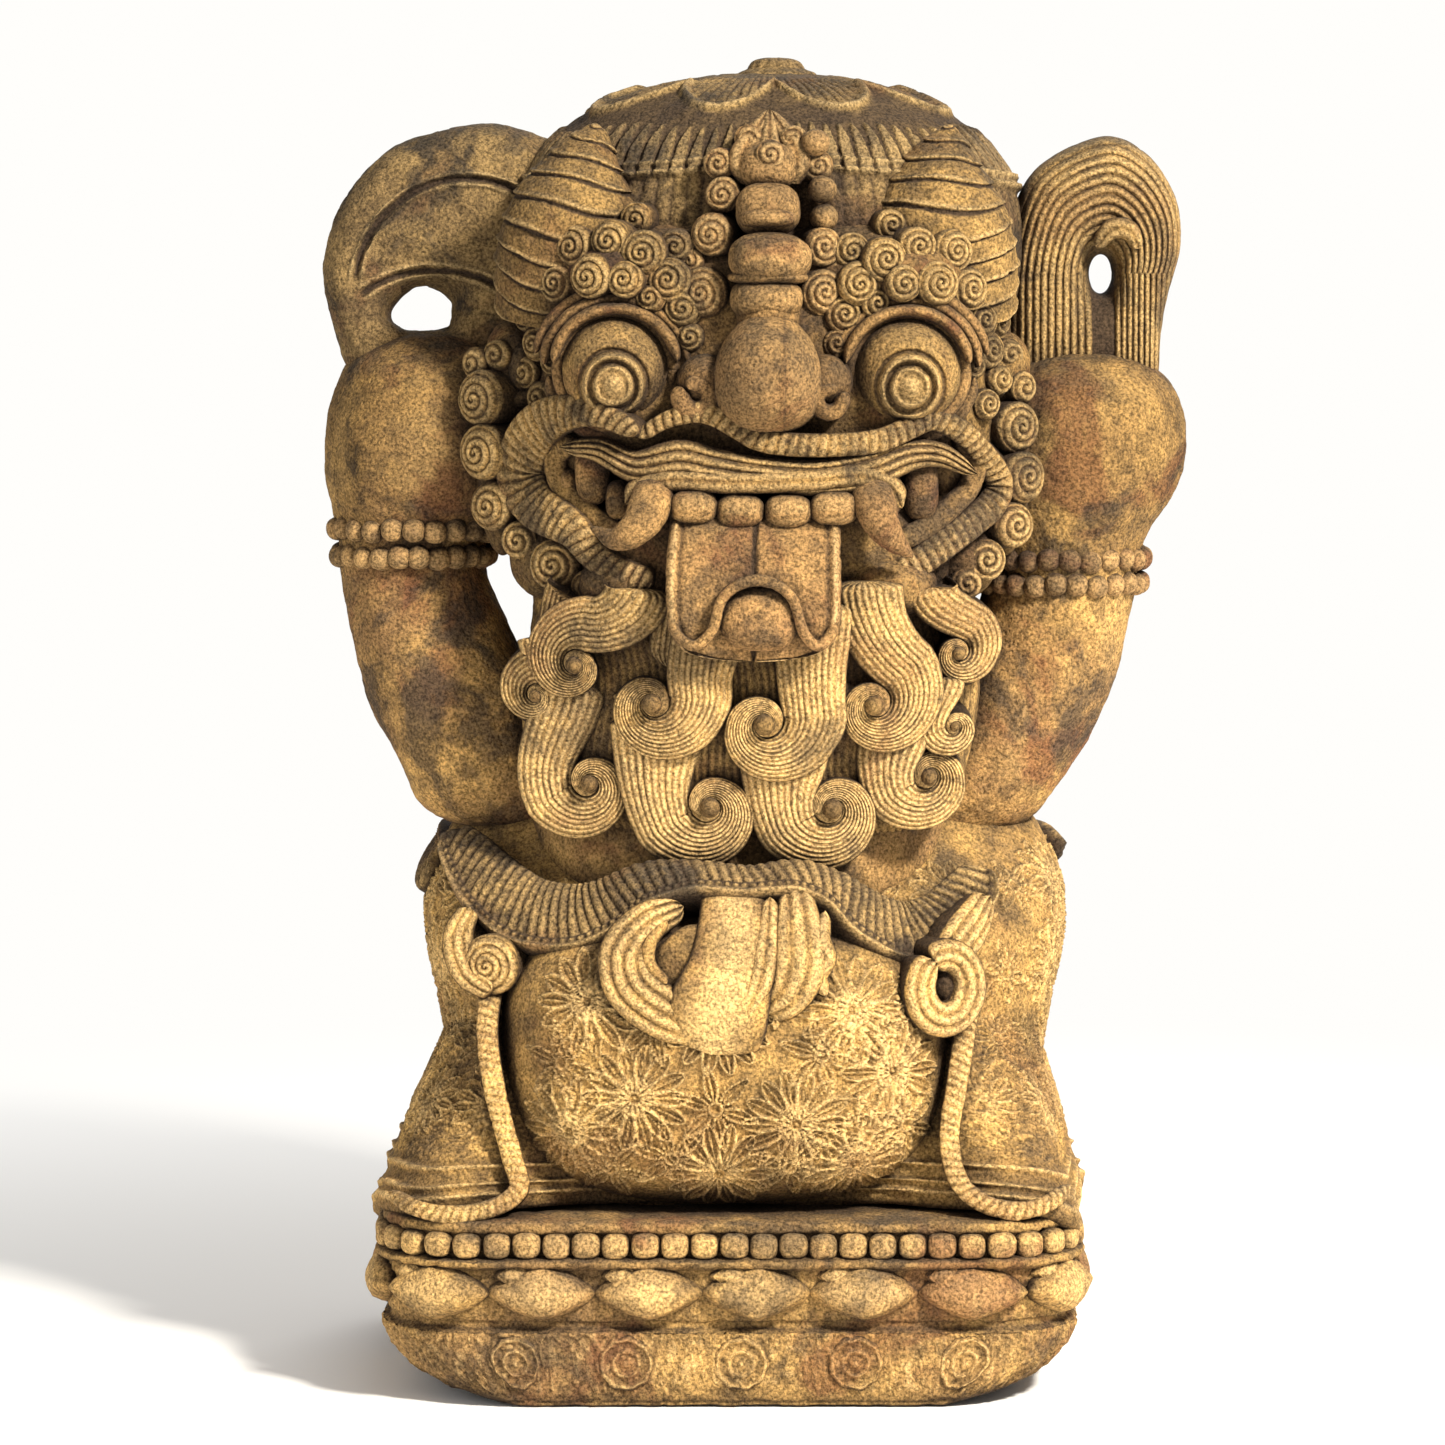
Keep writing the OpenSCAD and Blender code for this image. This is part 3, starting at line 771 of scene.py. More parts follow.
def petal(p, n, w, h, deep):
    """Cushion-shaped lotus petal with pointed ends, leaning against the plinth."""
    v = np.linspace(0.02, 1, 26)[:, None]
    a = circle(84)[None, :]
    c, s = np.cos(a), np.sin(a)
    edge = squared(c, s, 1.35)
    x = w * c * edge * v
    z = h * s * edge * v - 0.05 * h * (c * v) ** 2
    height = deep * (1 - v ** 2.2) ** 0.62 + 0.9 * line_at(v - 0.80, 0.05)
    height = height * (1 - 0.25 * s * v) + 0.8 * noise(np.stack([x, z, 0 * x + p[0]], -1), 7, 61)
    front = np.stack([x, -height, z], -1)
    rear = front[-1:] * np.array([1, 0, 1]) + np.array([0, 5.0, 0])
    wear = np.vstack([0.45 + 0.35 * (1 - v ** 3) + 0 * a, 0.25 + 0 * a])
    return turned(np.concatenate([front, rear]), p, n), wear


def medallion(p, n, radius):
    """Round flower boss with two rings and a centre."""
    v = np.linspace(0.02, 1, 26)[:, None]
    a = circle(72)[None, :]
    ring = line_at(v - 0.86, 0.07) + 0.9 * line_at(v - 0.45, 0.08) + line_at(v, 0.16)
    scallop = 0.5 * np.cos(a * 9) * line_at(v - 0.66, 0.12)
    height = 1.6 + 1.7 * ring + scallop
    height = height * (1 - smoothstep(v, 0.95, 1.0)) + 0 * a
    r = radius * v * (1 + 0.03 * np.cos(a * 9) * v)
    front = np.stack([r * np.cos(a), -height, r * np.sin(a)], -1)
    rear = np.stack([front[-1:, :, 0], 0 * height[-1:] + 5, front[-1:, :, 2]], -1)
    wear = np.vstack([0.35 + 0.5 * np.clip(ring, 0, 1) + 0 * a, 0.3 + 0 * a])
    return turned(np.concatenate([front, rear]), p, n), wear


# -------- lower body and cloth

def pattern_field(P, N, stamps):
    """Strongest of several stamped patterns, each (place, pattern, size)."""
    total = np.zeros(P.shape[:2])
    for at, pattern, size in stamps:
        total = np.maximum(total, stamp(P, N, at, pattern, size))
    return total


def make_hips():
    """Hips wrapped in patterned cloth: three rows of flowers and leaves by turns."""
    P = loft([(103, -6, 8, 150, 118, 2.6), (120, -6, 8, 158, 124, 2.5), (165, -5, 8, 168, 128, 2.5),
              (205, -5, 8, 175, 128, 2.6), (245, -5, 8, 183, 126, 2.6), (272, -5, 10, 183, 112, 2.5),
              (296, -5, 14, 176, 88, 2.4), (314, -5, 16, 166, 74, 2.3), (328, -5, 16, 146, 64, 2.2),
              (337, -5, 16, 100, 50, 2.1), (340, -5, 16, 40, 24, 2.0)], 260, 900, front=0.4)
    fold = 5.0 * line_at(P[..., 0] + 8, 42)
    N = grid_normals(P)
    P = lifted(P, N, -fold * smoothstep(-P[..., 1], 20, 90))
    stamps = []
    count = 22
    for k in range(count):
        for row, z in enumerate((190, 234, 278)):
            phase = TAU * (k + 0.5 * (row % 2)) / count
            at = (-5 + 180 * math.cos(phase), 8 + 124 * math.sin(phase), z)
            stamps.append((at, rosette, 27) if (k + row) % 2 else (at, leaves, 20))
    f = pattern_field(P, N, stamps)
    carve("Hips", CLOTH, lifted(P, N, 2.5 * f), 0.42 + 0.55 * f, rough=0.8)


def make_lap():
    """Cloth stretched between the knees. Flowers and leaves are placed as (x, z)."""
    P = ball((-16, -74, 190), (127, 87, 86), 330, 440, 2.9, front=0.6)
    N = grid_normals(P)
    flowers = [(-95, 227), (-66, 172), (23, 158), (82, 186), (-20, 216), (-108, 148), (54, 222), (-20, 122),
               (60, 124)]
    blades = [(-112, 190), (-22, 167), (37, 196), (66, 146), (-46, 136), (-56, 214), (6, 236), (98, 222),
              (-84, 120), (20, 128), (98, 148)]
    stamps = [((x, -160, z), rosette, 31) for x, z in flowers]
    stamps += [((x, -160, z), leaves, 25) for x, z in blades]
    f = pattern_field(P, N, stamps)
    carve("Lap_apron", CLOTH, lifted(P, N, 2.5 * f), 0.42 + 0.58 * f, rough=0.75)


def make_drapes():
    """Sarong that flares over the plinth at both sides and behind, as one skin."""
    angle = circle(900)
    c0, s0 = np.cos(angle), np.sin(angle)
    front = smoothstep(-s0, 0.55, 0.93) * (1 - smoothstep(np.abs(c0), 0.50, 0.80))
    corner = smoothstep(np.abs(c0), 0.62, 0.85)
    rows = []
    for t in np.linspace(0, 1, 150):
        a = 160 + 41 * t ** 1.25
        b = 118 + 48 * t ** 1.5
        scale = squared(c0, s0, 2.5 + 3.0 * t)
        shrink = 1 - 0.30 * front * t ** 1.2
        sway = 1 + 0.016 * np.cos(angle * 9 + 0.6) * t + 0.008 * np.cos(angle * 17) * t
        x = PX * t - 5 * (1 - t) + a * c0 * scale * shrink * sway
        z = 224 - 112 * t - corner * (13 + 7 * np.sin(angle * 8)) * t ** 3
        rows.append(np.stack([x, b * s0 * scale * shrink * sway, z], -1))
    rim = rows[-1]
    for drop, inset in ((3.0, -0.4), (5.5, -3.0), (6.0, -9.0)):
        ring = rim.copy()
        ring[:, 0] = PX + (ring[:, 0] - PX) * (1 + inset / PW)
        ring[:, 1] = ring[:, 1] * (1 + inset / PD)
        ring[:, 2] -= drop
        rows.append(ring)
    lid = rows[0].copy()
    lid[:, :2] *= 0.9
    P = np.array([lid] + rows)
    N = grid_normals(P)
    t = np.linspace(0, 1, len(P))[:, None]
    hem = line_at(t - 0.95, 0.016) + line_at(t - 0.90, 0.010) + line_at(t - 0.82, 0.010)
    stamps = []
    count = 26
    for k in range(count):
        for row, pattern in enumerate((leaves, rosette)):
            across = int((k + 0.5 * row) * len(angle) / count)
            stamps.append((P[38 + 46 * row, across], pattern, 23))
    cloth = np.maximum(pattern_field(P, N, stamps), 0.4 * vines(P, 15, 41))
    cloth = cloth * (1 - smoothstep(t, 0.77, 0.79)) * (1 - front)
    f = np.clip(cloth + hem, 0, 1)
    carve("Sarong_drapes", CLOTH, lifted(P, N, 2.6 * f), 0.34 + 0.6 * f, ("drape_left", "drape_right"))


def make_hems():
    """Welts that edge the cloth: down beside the lap, then out along the edge of the plinth."""
    left = [(-147, -104, 232), (-149, -122, 204), (-144, -132, 170), (-136, -138, 140), (-131, -146, 120),
            (-146, -152, 110), (-168, -155, 107), (-188, -150, 110), (-202, -136, 116)]
    right = [(122, -106, 232), (117, -122, 204), (112, -132, 176), (108, -138, 148), (113, -146, 124),
             (128, -152, 112), (147, -155, 109), (163, -150, 113), (174, -136, 119)]
    for name, points in (("Hem_band_left", left), ("Hem_band_right", right)):
        half = np.linspace(6.4, 4.6, 220) * round_ends(220, 0.04, 0.08)
        P, wear = ribbon(curve(points, 220), half, 3.2, 24, ribs(5.0, 0.7, 2.0), 30, (0, -1, 0.15), 0.5)
        carve(name, CLOTH, P, wear, rough=0.7)


def sash_y(x):
    """Depth of the front of the waist."""
    u = (x + 8) / 176.0
    return -144 * np.sqrt(np.maximum(0.02, 1 - u ** 2))


def sash_pleats(s, u, w):
    """Slanting pleats under a rolled edge with a row of dots below it."""
    pleat = ridged(math.pi * (s - 5 * u) / 6.2)
    inside = 1 - smoothstep(u * w, w - 9.5, w - 8.0)
    dots = line_at(u * w - (w - 6.8), 1.2) * (0.5 + 0.5 * np.cos(TAU * s / 4.6))
    roll = line_at(u * w - (w - 2.8), 2.2)
    height = 2.4 * (pleat - 1) * inside + 3.6 * roll + 1.8 * dots
    return height, np.clip(0.06 + 0.40 * pleat * inside + 0.6 * roll + 0.5 * dots, 0, 1)


def make_sash():
    """Pleated waist cloth. Each edge point: x, height of the centre line, half width."""
    edge = [(-171, 306, 11), (-162, 296, 16), (-148, 281, 20), (-127, 268, 22), (-102, 266, 22),
            (-82, 273, 20), (-60, 286, 16), (-34, 291, 12), (-6, 289, 11), (22, 291, 12), (42, 284, 14),
            (62, 268, 18), (84, 258, 20), (103, 262, 19), (117, 274, 17), (130, 289, 13)]
    flat = curve(edge, 420)
    half = flat[:, 2] * round_ends(420, 0.02, 0.03)
    path = np.column_stack([flat[:, 0], sash_y(flat[:, 0]) + 0.35 * flat[:, 2], flat[:, 1]])
    out = np.column_stack([(flat[:, 0] + 8) / 172.0 * 0.8, -np.ones(420), 0.65 * np.ones(420)])
    c = Carving("Waist_sash")
    c.add(*ribbon(path, half, 6.5, 30, sash_pleats, cols=72, out=out, dome=0.35), rough=0.6)
    angle = np.radians(np.linspace(198, 4, 300))
    cos, sin = np.cos(angle), np.sin(angle)
    scale = squared(cos, sin, 2.45)
    back = np.column_stack([-5 + 180 * cos * scale, 13 + 99 * sin * scale, 289 + 4 * np.sin(5 * angle)])
    out = np.column_stack([cos, sin, 0.7 + 0 * cos])
    half = 17 * round_ends(300, 0.03, 0.22)
    c.add(*ribbon(back, half, 6, 40, sash_pleats, cols=56, out=out, dome=0.35), rough=0.6)
    c.build(CROWN)


def strip(piece, points, widths, n_grooves, depth=2.0, rise=6.0, back=22.0, rows=80, out=(0, -1, 0),
          dome=0.5):
    """Folded cloth band through a few points with its half widths."""
    half = profile(widths, rows) * round_ends(rows, 0.05, 0.07)
    relief = grooves(n_grooves, depth) if n_grooves else None
    cols = max(24, 9 * n_grooves)
    piece.add(*ribbon(curve(points, rows), half, rise, back, relief, cols, out, dome), rough=0.6)


def make_left_scroll():
    left = Carving("Sash_scroll_left")
    snail(left, -148, 240, 17, 1, -112, 4.2, 1.8, 30, 0.45, lean=-20)
    strip(left, [(-160, -96, 270), (-166, -102, 254), (-160, -110, 236), (-146, -116, 226)], [6, 9, 9, 6], 3)
    left.build(CLOTH)


def make_knot_loop():
    loop = Carving("Knot_loop")
    strip(loop, [(-42, -140, 276), (-60, -150, 268), (-72, -156, 252), (-68, -160, 234), (-50, -162, 220),
                 (-30, -158, 212)], [8, 12, 14, 15, 15, 13], 4, 3.0, 6, rows=110, dome=0.35)
    strip(loop, [(-50, -148, 268), (-58, -154, 258), (-58, -158, 246), (-48, -160, 236)],
          [3, 4, 4, 3], 0, rise=5)
    loop.build(CLOTH)


def make_knot_tail():
    tail = Carving("Knot_tail")
    strip(tail, [(-12, -138, 288), (-12, -154, 266), (-14, -163, 244), (-20, -165, 222), (-24, -158, 199)],
          [17, 20, 24, 28, 27], 1, 1.4, 6, rows=110, dome=0.24)
    tail.add(ball((-20, -150, 236), (40, 12, 34), 50, 60), 0.4)
    strip(tail, [(8, -146, 280), (6, -160, 256), (2, -166, 236), (-8, -164, 216)], [5, 7, 7, 5], 2, 1.6)
    tail.build(CLOTH)


def make_knot_scroll():
    scroll = Carving("Knot_scroll")
    strip(scroll, [(22, -142, 284), (24, -156, 264), (24, -162, 246), (18, -160, 230), (6, -156, 220)],
          [10, 14, 15, 13, 8], 3, 2.4, 7, rows=100)
    strip(scroll, [(38, -146, 272), (36, -156, 260), (40, -158, 250), (34, -158, 240), (38, -154, 231)],
          [4, 6, 5, 6, 4], 1, 1.4, rows=90)
    scroll.build(CLOTH)


def make_right_scroll():
    """Oval loop of cloth under a short fold."""
    right = Carving("Sash_scroll_right")
    turn = np.radians(np.linspace(125, -240, 15))
    oval = [(105 + 14 * math.cos(a), -137 + 7 * math.cos(a), 231 + 18 * math.sin(a)) for a in turn]
    strip(right, oval, [9, 10, 10, 9], 3, 2.6, 6, 30, 150, (0.3, -1, 0))
    fold = [(128, -104, 276), (122, -116, 266), (114, -124, 256), (106, -130, 248)]
    strip(right, fold, [8, 12, 13, 10], 4, 2.6, 6, 28, 100, (0.4, -1, 0))
    # A dark ball in the loop's hole, painted as the shade inside it.
    right.add(ball((105, -122, 231), (9, 14, 12), 30, 40), 0.12, rough=0.5)
    right.build(CLOTH)


# -------- torso and arms

def make_torso():
    P = loft([(214, -8, -6, 118, 92, 2.4), (250, -8, -6, 119, 98, 2.4), (290, -8, -6, 120, 102, 2.4),
              (320, -8, -4, 122, 102, 2.4), (380, -6, 0, 124, 102, 2.3), (430, -4, 4, 124, 98, 2.3),
              (465, -2, 8, 116, 90, 2.2), (478, -2, 8, 60, 50, 2.0)], 150, 260)
    carve("Torso", SKIN, P)


def make_arms():
    """Shoulder and arm in one. Each table is a loft's, from the top of the shoulder down."""
    left = [(592, -184, 14, 12, 12, 2.0), (588, -184, 14, 34, 40, 2.0), (576, -184, 14, 52, 58, 2.1),
            (556, -183, 13, 63, 68, 2.1), (531, -182, 12, 67, 72, 2.1), (505, -186, 10, 61, 66, 2.1),
            (482, -193, 8, 48, 54, 2.1), (468, -196, 6, 43, 48, 2.1), (450, -195, 5, 43, 47, 2.1),
            (414, -184, 2, 49, 50, 2.1), (378, -168, 0, 54, 53, 2.1), (344, -153, -2, 52, 50, 2.1),
            (320, -142, -2, 50, 42, 2.1), (309, -134, -2, 38, 32, 2.0), (304, -130, -2, 14, 14, 2.0)]
    right = [(584, 188, 14, 12, 12, 2.0), (580, 188, 14, 32, 38, 2.0), (568, 187, 14, 50, 56, 2.1),
             (550, 186, 13, 60, 66, 2.1), (526, 184, 12, 65.5, 70, 2.1), (500, 182, 10, 61, 66, 2.1),
             (478, 180, 8, 50, 56, 2.1), (462, 179, 6, 45, 50, 2.1), (436, 175, 5, 46, 49, 2.1),
             (400, 164, 2, 48, 51, 2.1), (362, 146, 0, 49, 52, 2.1), (336, 130, -2, 50, 48, 2.1),
             (314, 118, -2, 46, 40, 2.1), (302, 112, -2, 32, 28, 2.0), (297, 112, -2, 12, 12, 2.0)]
    for side, table, bead_rows in (("left", left, (480, 464.5)), ("right", right, (463, 449))):
        P = loft(table, 250, 230)
        muscle = 2.2 * noise(P, 46, 51) + 1.0 * noise(P, 22, 53)
        wear = 0.56 + 0.1 * noise(P, 30, 57)
        P = lifted(P, grid_normals(P), muscle - 1.0)
        carve("Arm_" + side, SKIN, P, wear, ("arm_" + side, "shoulder_" + side), rough=1.15)
        make_armlet(side, curve(table, 400), bead_rows)


def make_armlet(side, outline, heights):
    """Rows of beads round the arm whose outline is a table like an arm's; they stand in each other's gaps."""
    ring = Carving("Armlet_" + side)
    beads = 24
    for row, z in enumerate(heights):
        _, x, y, half_w, half_d, _ = outline[np.argmin(np.abs(outline[:, 0] - z))]
        for i in range(beads):
            phase = TAU * (i + 0.5 * row) / beads
            at = (x + (half_w - 0.5) * math.cos(phase), y + (half_d - 0.5) * math.sin(phase),
                  z + 0.8 * math.sin(i * 1.9))
            ring.add(ball(at, (6.9, 6.6, 6.8), 14, 18, 2.2), 0.72, rough=0.6)
    ring.build(DETAIL)


# -------- shoulder crescent and hair plume

def plate(outline, hole, y_mid, thick, rows, relief):
    """Rounded slab between a hole and an outline, both closed rings of (x, z). Returns points and wear."""
    v = np.linspace(0, 1, rows)[:, None]
    flat = hole[None] * (1 - v[..., None]) + outline[None] * v[..., None]
    x, z = flat[..., 0], flat[..., 1]
    bulge = thick * (1 - np.abs(2 * v - 1) ** 3.2) ** 0.55
    bump, wear = relief(x, z, v)
    front = bulge + bump * np.minimum(1, bulge / thick * 1.5)
    a = np.stack([x, y_mid - front, z], -1)
    b = np.stack([x, y_mid + bulge * 0.9 + 0 * front, z], -1)[::-1]
    return np.concatenate([a, b[1:-1]]), np.concatenate([wear, 0.5 + 0 * b[1:-1, :, 0]])


def ring_curve(points, n):
    """Closed smooth ring through a few (x, z) points."""
    p = np.asarray(points, float)
    p = np.vstack([p[-1:], p, p[:2]])
    t = np.linspace(0, len(p) - 3, n, endpoint=False)
    i = t.astype(int)
    f = (t - i)[:, None]
    return spline(p[i], p[i + 1], p[i + 2], p[np.minimum(i + 3, len(p) - 1)], f)


def make_crescent():
    """Smooth crescent with two carved arcs over a small hole."""
    outer = ring_curve([(-108, 640), (-108, 692), (-138, 710), (-172, 710), (-210, 697), (-237, 667),
                        (-248, 630), (-242, 596), (-228, 566), (-170, 560), (-125, 590)], 300)
    hole = ring_curve([(-175, 604), (-175, 610), (-182, 616), (-191, 618), (-200, 615), (-208, 606),
                       (-208, 598), (-200, 594), (-188, 594), (-177, 596), (-175, 600)], 300)

    def relief(x, z, v):
        upper = np.hypot(x + 164, z - 616) - 64
        lower = np.hypot((x + 182) / 1.45, z - 590) - 38
        left_end = smoothstep(x + 0.4 * z, 18, 26)
        pair = line_at(upper - 3.2, 1.2) + line_at(upper + 3.2, 1.2) - 1.2 * line_at(upper, 1.6)
        twin = line_at(lower - 3.0, 1.2) + line_at(lower + 3.0, 1.2) - 1.2 * line_at(lower, 1.5)
        cut = pair * smoothstep(z, 618, 630) + twin * smoothstep(z, 606, 616) * left_end
        return 1.9 * cut, np.clip(0.55 + 0.45 * cut, 0, 1)
    P, wear = plate(outer, hole, 16, 32, 110, relief)
    carve("Shoulder_crescent", CROWN, P, wear, closed_rows=True, rough=1.2)


def make_plume():
    """Hair that sweeps up, over and down to a point, round a small through hole."""
    outer = ring_curve([(200, 705), (226, 695), (243, 670), (246, 642), (239, 614), (235, 592), (233, 564),
                        (222, 552), (196, 546), (166, 544), (146, 560), (142, 606), (146, 650),
                        (162, 686)], 420)
    hole_x, hole_z, hole_w, hole_h = 200, 626, 6.5, 11
    away = outer - np.array([hole_x, hole_z])
    phi = np.arctan2(away[:, 1], away[:, 0])
    hole = np.column_stack([hole_x + hole_w * np.cos(phi), hole_z + hole_h * np.sin(phi)])

    def relief(x, z, v):
        """Strands go round the hole above it and hang down straight below it."""
        beside = (np.abs(x - hole_x) - hole_w) / np.where(x < hole_x, 51.5, 39.5)
        flow = np.where(z > hole_z, v + 0 * x, beside)
        ridge = ridged(math.pi * 12 * np.clip(flow, 0, None), 0.55)
        return 2.6 * (ridge - 1) * smoothstep(v, 0.04, 0.12), 0.08 + 0.85 * ridge + 0 * x
    P, wear = plate(outer, hole, 16, 34, 150, relief)
    c = Carving("Hair_plume")
    c.add(P, wear, closed_rows=True, rough=0.5)
    tuft = [(196, -16, 642), (204, -20, 651), (214, -20, 650), (219, -17, 641)]
    strip(c, tuft, [4, 6, 6, 4], 2, 1.6, 5, 20, 60)
    c.build(HAIR)


# -------- head

def make_head():
    P = loft([(416, 6, -30, 40, 40, 2.0), (424, 6, -30, 84, 70, 2.2), (445, 6, -28, 110, 88, 2.4),
              (480, 6, -24, 126, 98, 2.5), (520, 6, -18, 136, 104, 2.6), (560, 6, -14, 140, 108, 2.6),
              (600, 6, -12, 140, 110, 2.5), (636, 6, -6, 134, 108, 2.4), (656, 6, 0, 112, 92, 2.2),
              (664, 6, 2, 60, 50, 2.0)], 220, 420, front=0.5)
    x, z = P[..., 0], P[..., 2]
    front = smoothstep(-P[..., 1], 40, 90)
    push = brow_push(x, z) + 10 * np.exp(-((x - FACE_X) / 34) ** 2 - ((z - 575) / 45) ** 2)
    for _, eye_x, _, _ in EYES:
        push += 15 * np.exp(-((x - eye_x) / 34) ** 2 - ((z - 548) / 20) ** 2)      # cheek under the eye
    mouth = (1 - smoothstep(np.abs(x - 4), 88, 104)) * line_at(z - 503, 14)
    push -= 16 * mouth
    P[..., 1] -= push * front
    # The pushed-in mouth gets a low value, painted as shade in the recess.
    carve("Head", SKIN, P, 0.55 - 0.5 * mouth * front)


def make_crown():
    """Cap with rays above a scalloped edge, then blades of grass, a double band and more rays."""
    P = ball((8, 18, 640), (148, 122, 101), 300, 900, 2.3, front=0.45)
    theta = np.arctan2(P[..., 1] - 18, P[..., 0] - 8) + math.pi / 2 - 0.05
    z = P[..., 2]
    scallop = 716 + 15 * (1 - np.abs(np.sin(theta * 4))) + 2 * np.cos(theta)
    above = smoothstep(z, scallop, scallop + 2.5)
    band_z = 688 - 12 * np.minimum(1, np.abs(np.sin(theta * 0.5)) * 1.4)
    edge = line_at(z - scallop, 1.9)
    band = line_at(z - band_z - 2.6, 1.3) + line_at(z - band_z + 2.6, 1.3)
    below = 1 - smoothstep(z, band_z - 6, band_z - 3)
    blade = np.abs(np.sin(theta * 42))
    tip = 692 + 17 * blade + 4 * noise(P, 30, 71)
    blades = smoothstep(tip - z, 0, 3) * smoothstep(blade, 0.15, 0.5) * (1 - above) * (1 - below)
    rays = ridged(theta * 44)
    d = 2.2 * blades + 3.6 * edge + 2.6 * band
    d = d - 1.3 * (1 - rays) * below - 1.3 * (1 - rays) * above * (1 - smoothstep(z, 734, 738))
    wear = 0.20 + 0.52 * blades + 0.8 * edge + 0.6 * band + 0.34 * rays * (above + below)
    carve("Crown", CROWN, lifted(P, grid_normals(P), d), np.clip(wear, 0, 1), ("crown", "crown_band"))


def make_knob():
    """Turned knob with a fluted side. The profile is height and radius."""
    turned_side = curve([(732, 22), (737, 23.5), (741, 22), (743.5, 16.5), (745, 15.5), (748, 13), (749.6, 8),
                         (750, 1)], 40)
    z, r = turned_side[:, 0:1], turned_side[:, 1:2]
    a = circle(90)[None, :]
    r = r * (1 + 0.03 * np.cos(a * 14))
    carve("Crown_knob", CROWN, np.stack([13 + r * np.cos(a), 18 + r * np.sin(a), z + 0 * a], -1), rough=0.5)


def make_horns():
    """Cone-shaped horns cut with overlapping rings that sag in front."""
    rows = 260
    for side, base_x, tip_x, k in (("left", -100, -88, -1), ("right", 102, 109, 1)):
        path = curve([(base_x, -62, 606), (base_x, -72, 634), (base_x + 1, -78, 660),
                      (base_x * 0.55 + tip_x * 0.45, -76, 686), (tip_x, -70, 709)], rows)
        radius = profile([45, 45, 39, 23, 3], rows)[:, None]
        t = np.linspace(0, 1, rows)[:, None]
        turn = circle(200)[None, :]
        sag = 0.42 * np.sin(turn) - 0.16 * k * np.cos(turn)
        saw = (t * 9.2 + sag * (1 - 0.6 * t) + 0.10 * np.sin(3 * turn + 9 * t)) % 1.0
        lip = line_at(saw - 0.16, 0.09)
        cut = line_at(saw - 0.02, 0.05) + line_at(saw - 1.0, 0.05)
        bump = 1.1 * lip - 1.5 * cut + 0.8 * (0.5 - saw)
        r = radius * round_ends(rows, 0.0, 0.04)[:, None] + bump * np.minimum(1, radius / 14)
        O, B = frames(path, (0, -1, 0))
        P = path[:, None] + B[:, None] * (np.cos(turn) * r)[..., None]
        P = P + O[:, None] * (np.sin(turn) * r * 0.8)[..., None]
        carve("Horn_" + side, HAIR, P, np.clip(0.5 + 0.45 * lip - 0.6 * cut, 0, 1), rough=1.1)


def make_eyes():
    for side, x, z, k in EYES:
        y = float(face_y(x, z)) + 2
        make_eyeball(side, x, y, z, k)
        make_eyelids(side, x, y, z, k)


def make_eyeball(side, x, y, z, k):
    """Round eye cut with two rings round the pupil; k is the direction away from the nose."""
    v = np.linspace(0.012, 1, 120)[:, None]
    a = circle(130)[None, :]
    r = 31 * np.sin(v * math.pi * 0.56)
    deep = 37 * np.cos(v * math.pi * 0.56)
    off = np.hypot(r * np.cos(a) - 1.0 * k, r * np.sin(a) + 8)
    iris = 3.0 * line_at(off - 15.5, 1.5) + 2.6 * line_at(off - 9.5, 1.4) + 3.6 * line_at(off, 4.8)
    groove = 2.8 * line_at(off - 18.8, 1.3) + 2.2 * line_at(off - 12.5, 1.2)
    d = (iris - groove) * (v < 0.85)
    P = np.stack([x + r * np.cos(a), y - deep - d, z + 1.04 * r * np.sin(a)], -1)
    carve("Eye_" + side, CLOTH, P, np.clip(0.66 + 0.16 * d, 0, 1), rough=0.6)


def make_eyelids(side, x, y, z, k):
    """Arcs round the eye. Each: radius, half width, rise, first and last angle, how far it stands back."""
    lids = ((31.5, 4.4, 8, 0, 360, 7), (34.5, 3.6, 8, 8, 172, -3), (40.0, 3.6, 6, 4, 176, 3),
            (45.5, 3.4, 4, 12, 168, 6), (37.5, 4.2, 4, 185, 355, 8))
    lid = Carving("Eyelid_" + side)
    for radius, half, rise, first, last, back in lids:
        arc = np.radians(np.linspace(first, last, 130))
        px = x + radius * np.cos(arc)
        py = y - 15.0 + back + 10 * ((px - x) / 45) ** 2 * (k * (px - x) > 0)
        path = np.stack([px, py, z + radius * 0.98 * np.sin(arc)], -1)
        ends = 1 if last - first == 360 else round_ends(130, 0.12, 0.12)
        lid.add(*ribbon(path, half * ends, rise, 26, None, cols=16, dome=0.5), rough=0.6)
    lid.build(DETAIL)


def make_nose():
    """Bulb, bridge and two wings."""
    c = Carving("Nose")
    P = ball((7, -136, 570), (30, 36, 33), 110, 130, 2.15)
    x, z = P[..., 0], P[..., 2]
    P[..., 0] = 7 + (x - 7) * (1 - 0.0045 * (z - 570))
    c.add(P, 0.66 - 0.35 * line_at(x - 16, 1.4) * (P[..., 1] < -140), rough=1.0)
    c.add(ball((7, -124, 602), (18, 24, 18), 40, 50), 0.5)
    for x in (-27, 38):
        c.add(ball((x, -128, 566), (16, 18, 15), 40, 50), 0.6)
    c.build(DETAIL)


def make_nostrils():
    """A curl at each side of the nose, which winds in a little."""
    curls = Carving("Nostril_curls")
    for x, z, r, k in ((-32, 558, 15.5, -1), (40, 556, 13, 1)):
        arc = np.radians(np.linspace(-30, 320, 90)) * -k + (0 if k > 0 else math.pi)
        reach = 0.62 * r * np.linspace(1, 0.62, 90)
        path = np.stack([x + reach * np.cos(arc), np.full(90, -142.0), z + reach * np.sin(arc)], -1)
        curls.add(*ribbon(path, 0.36 * r * round_ends(90, 0.1, 0.1), 5, 24, None, cols=18), rough=0.6)
    curls.build(DETAIL)


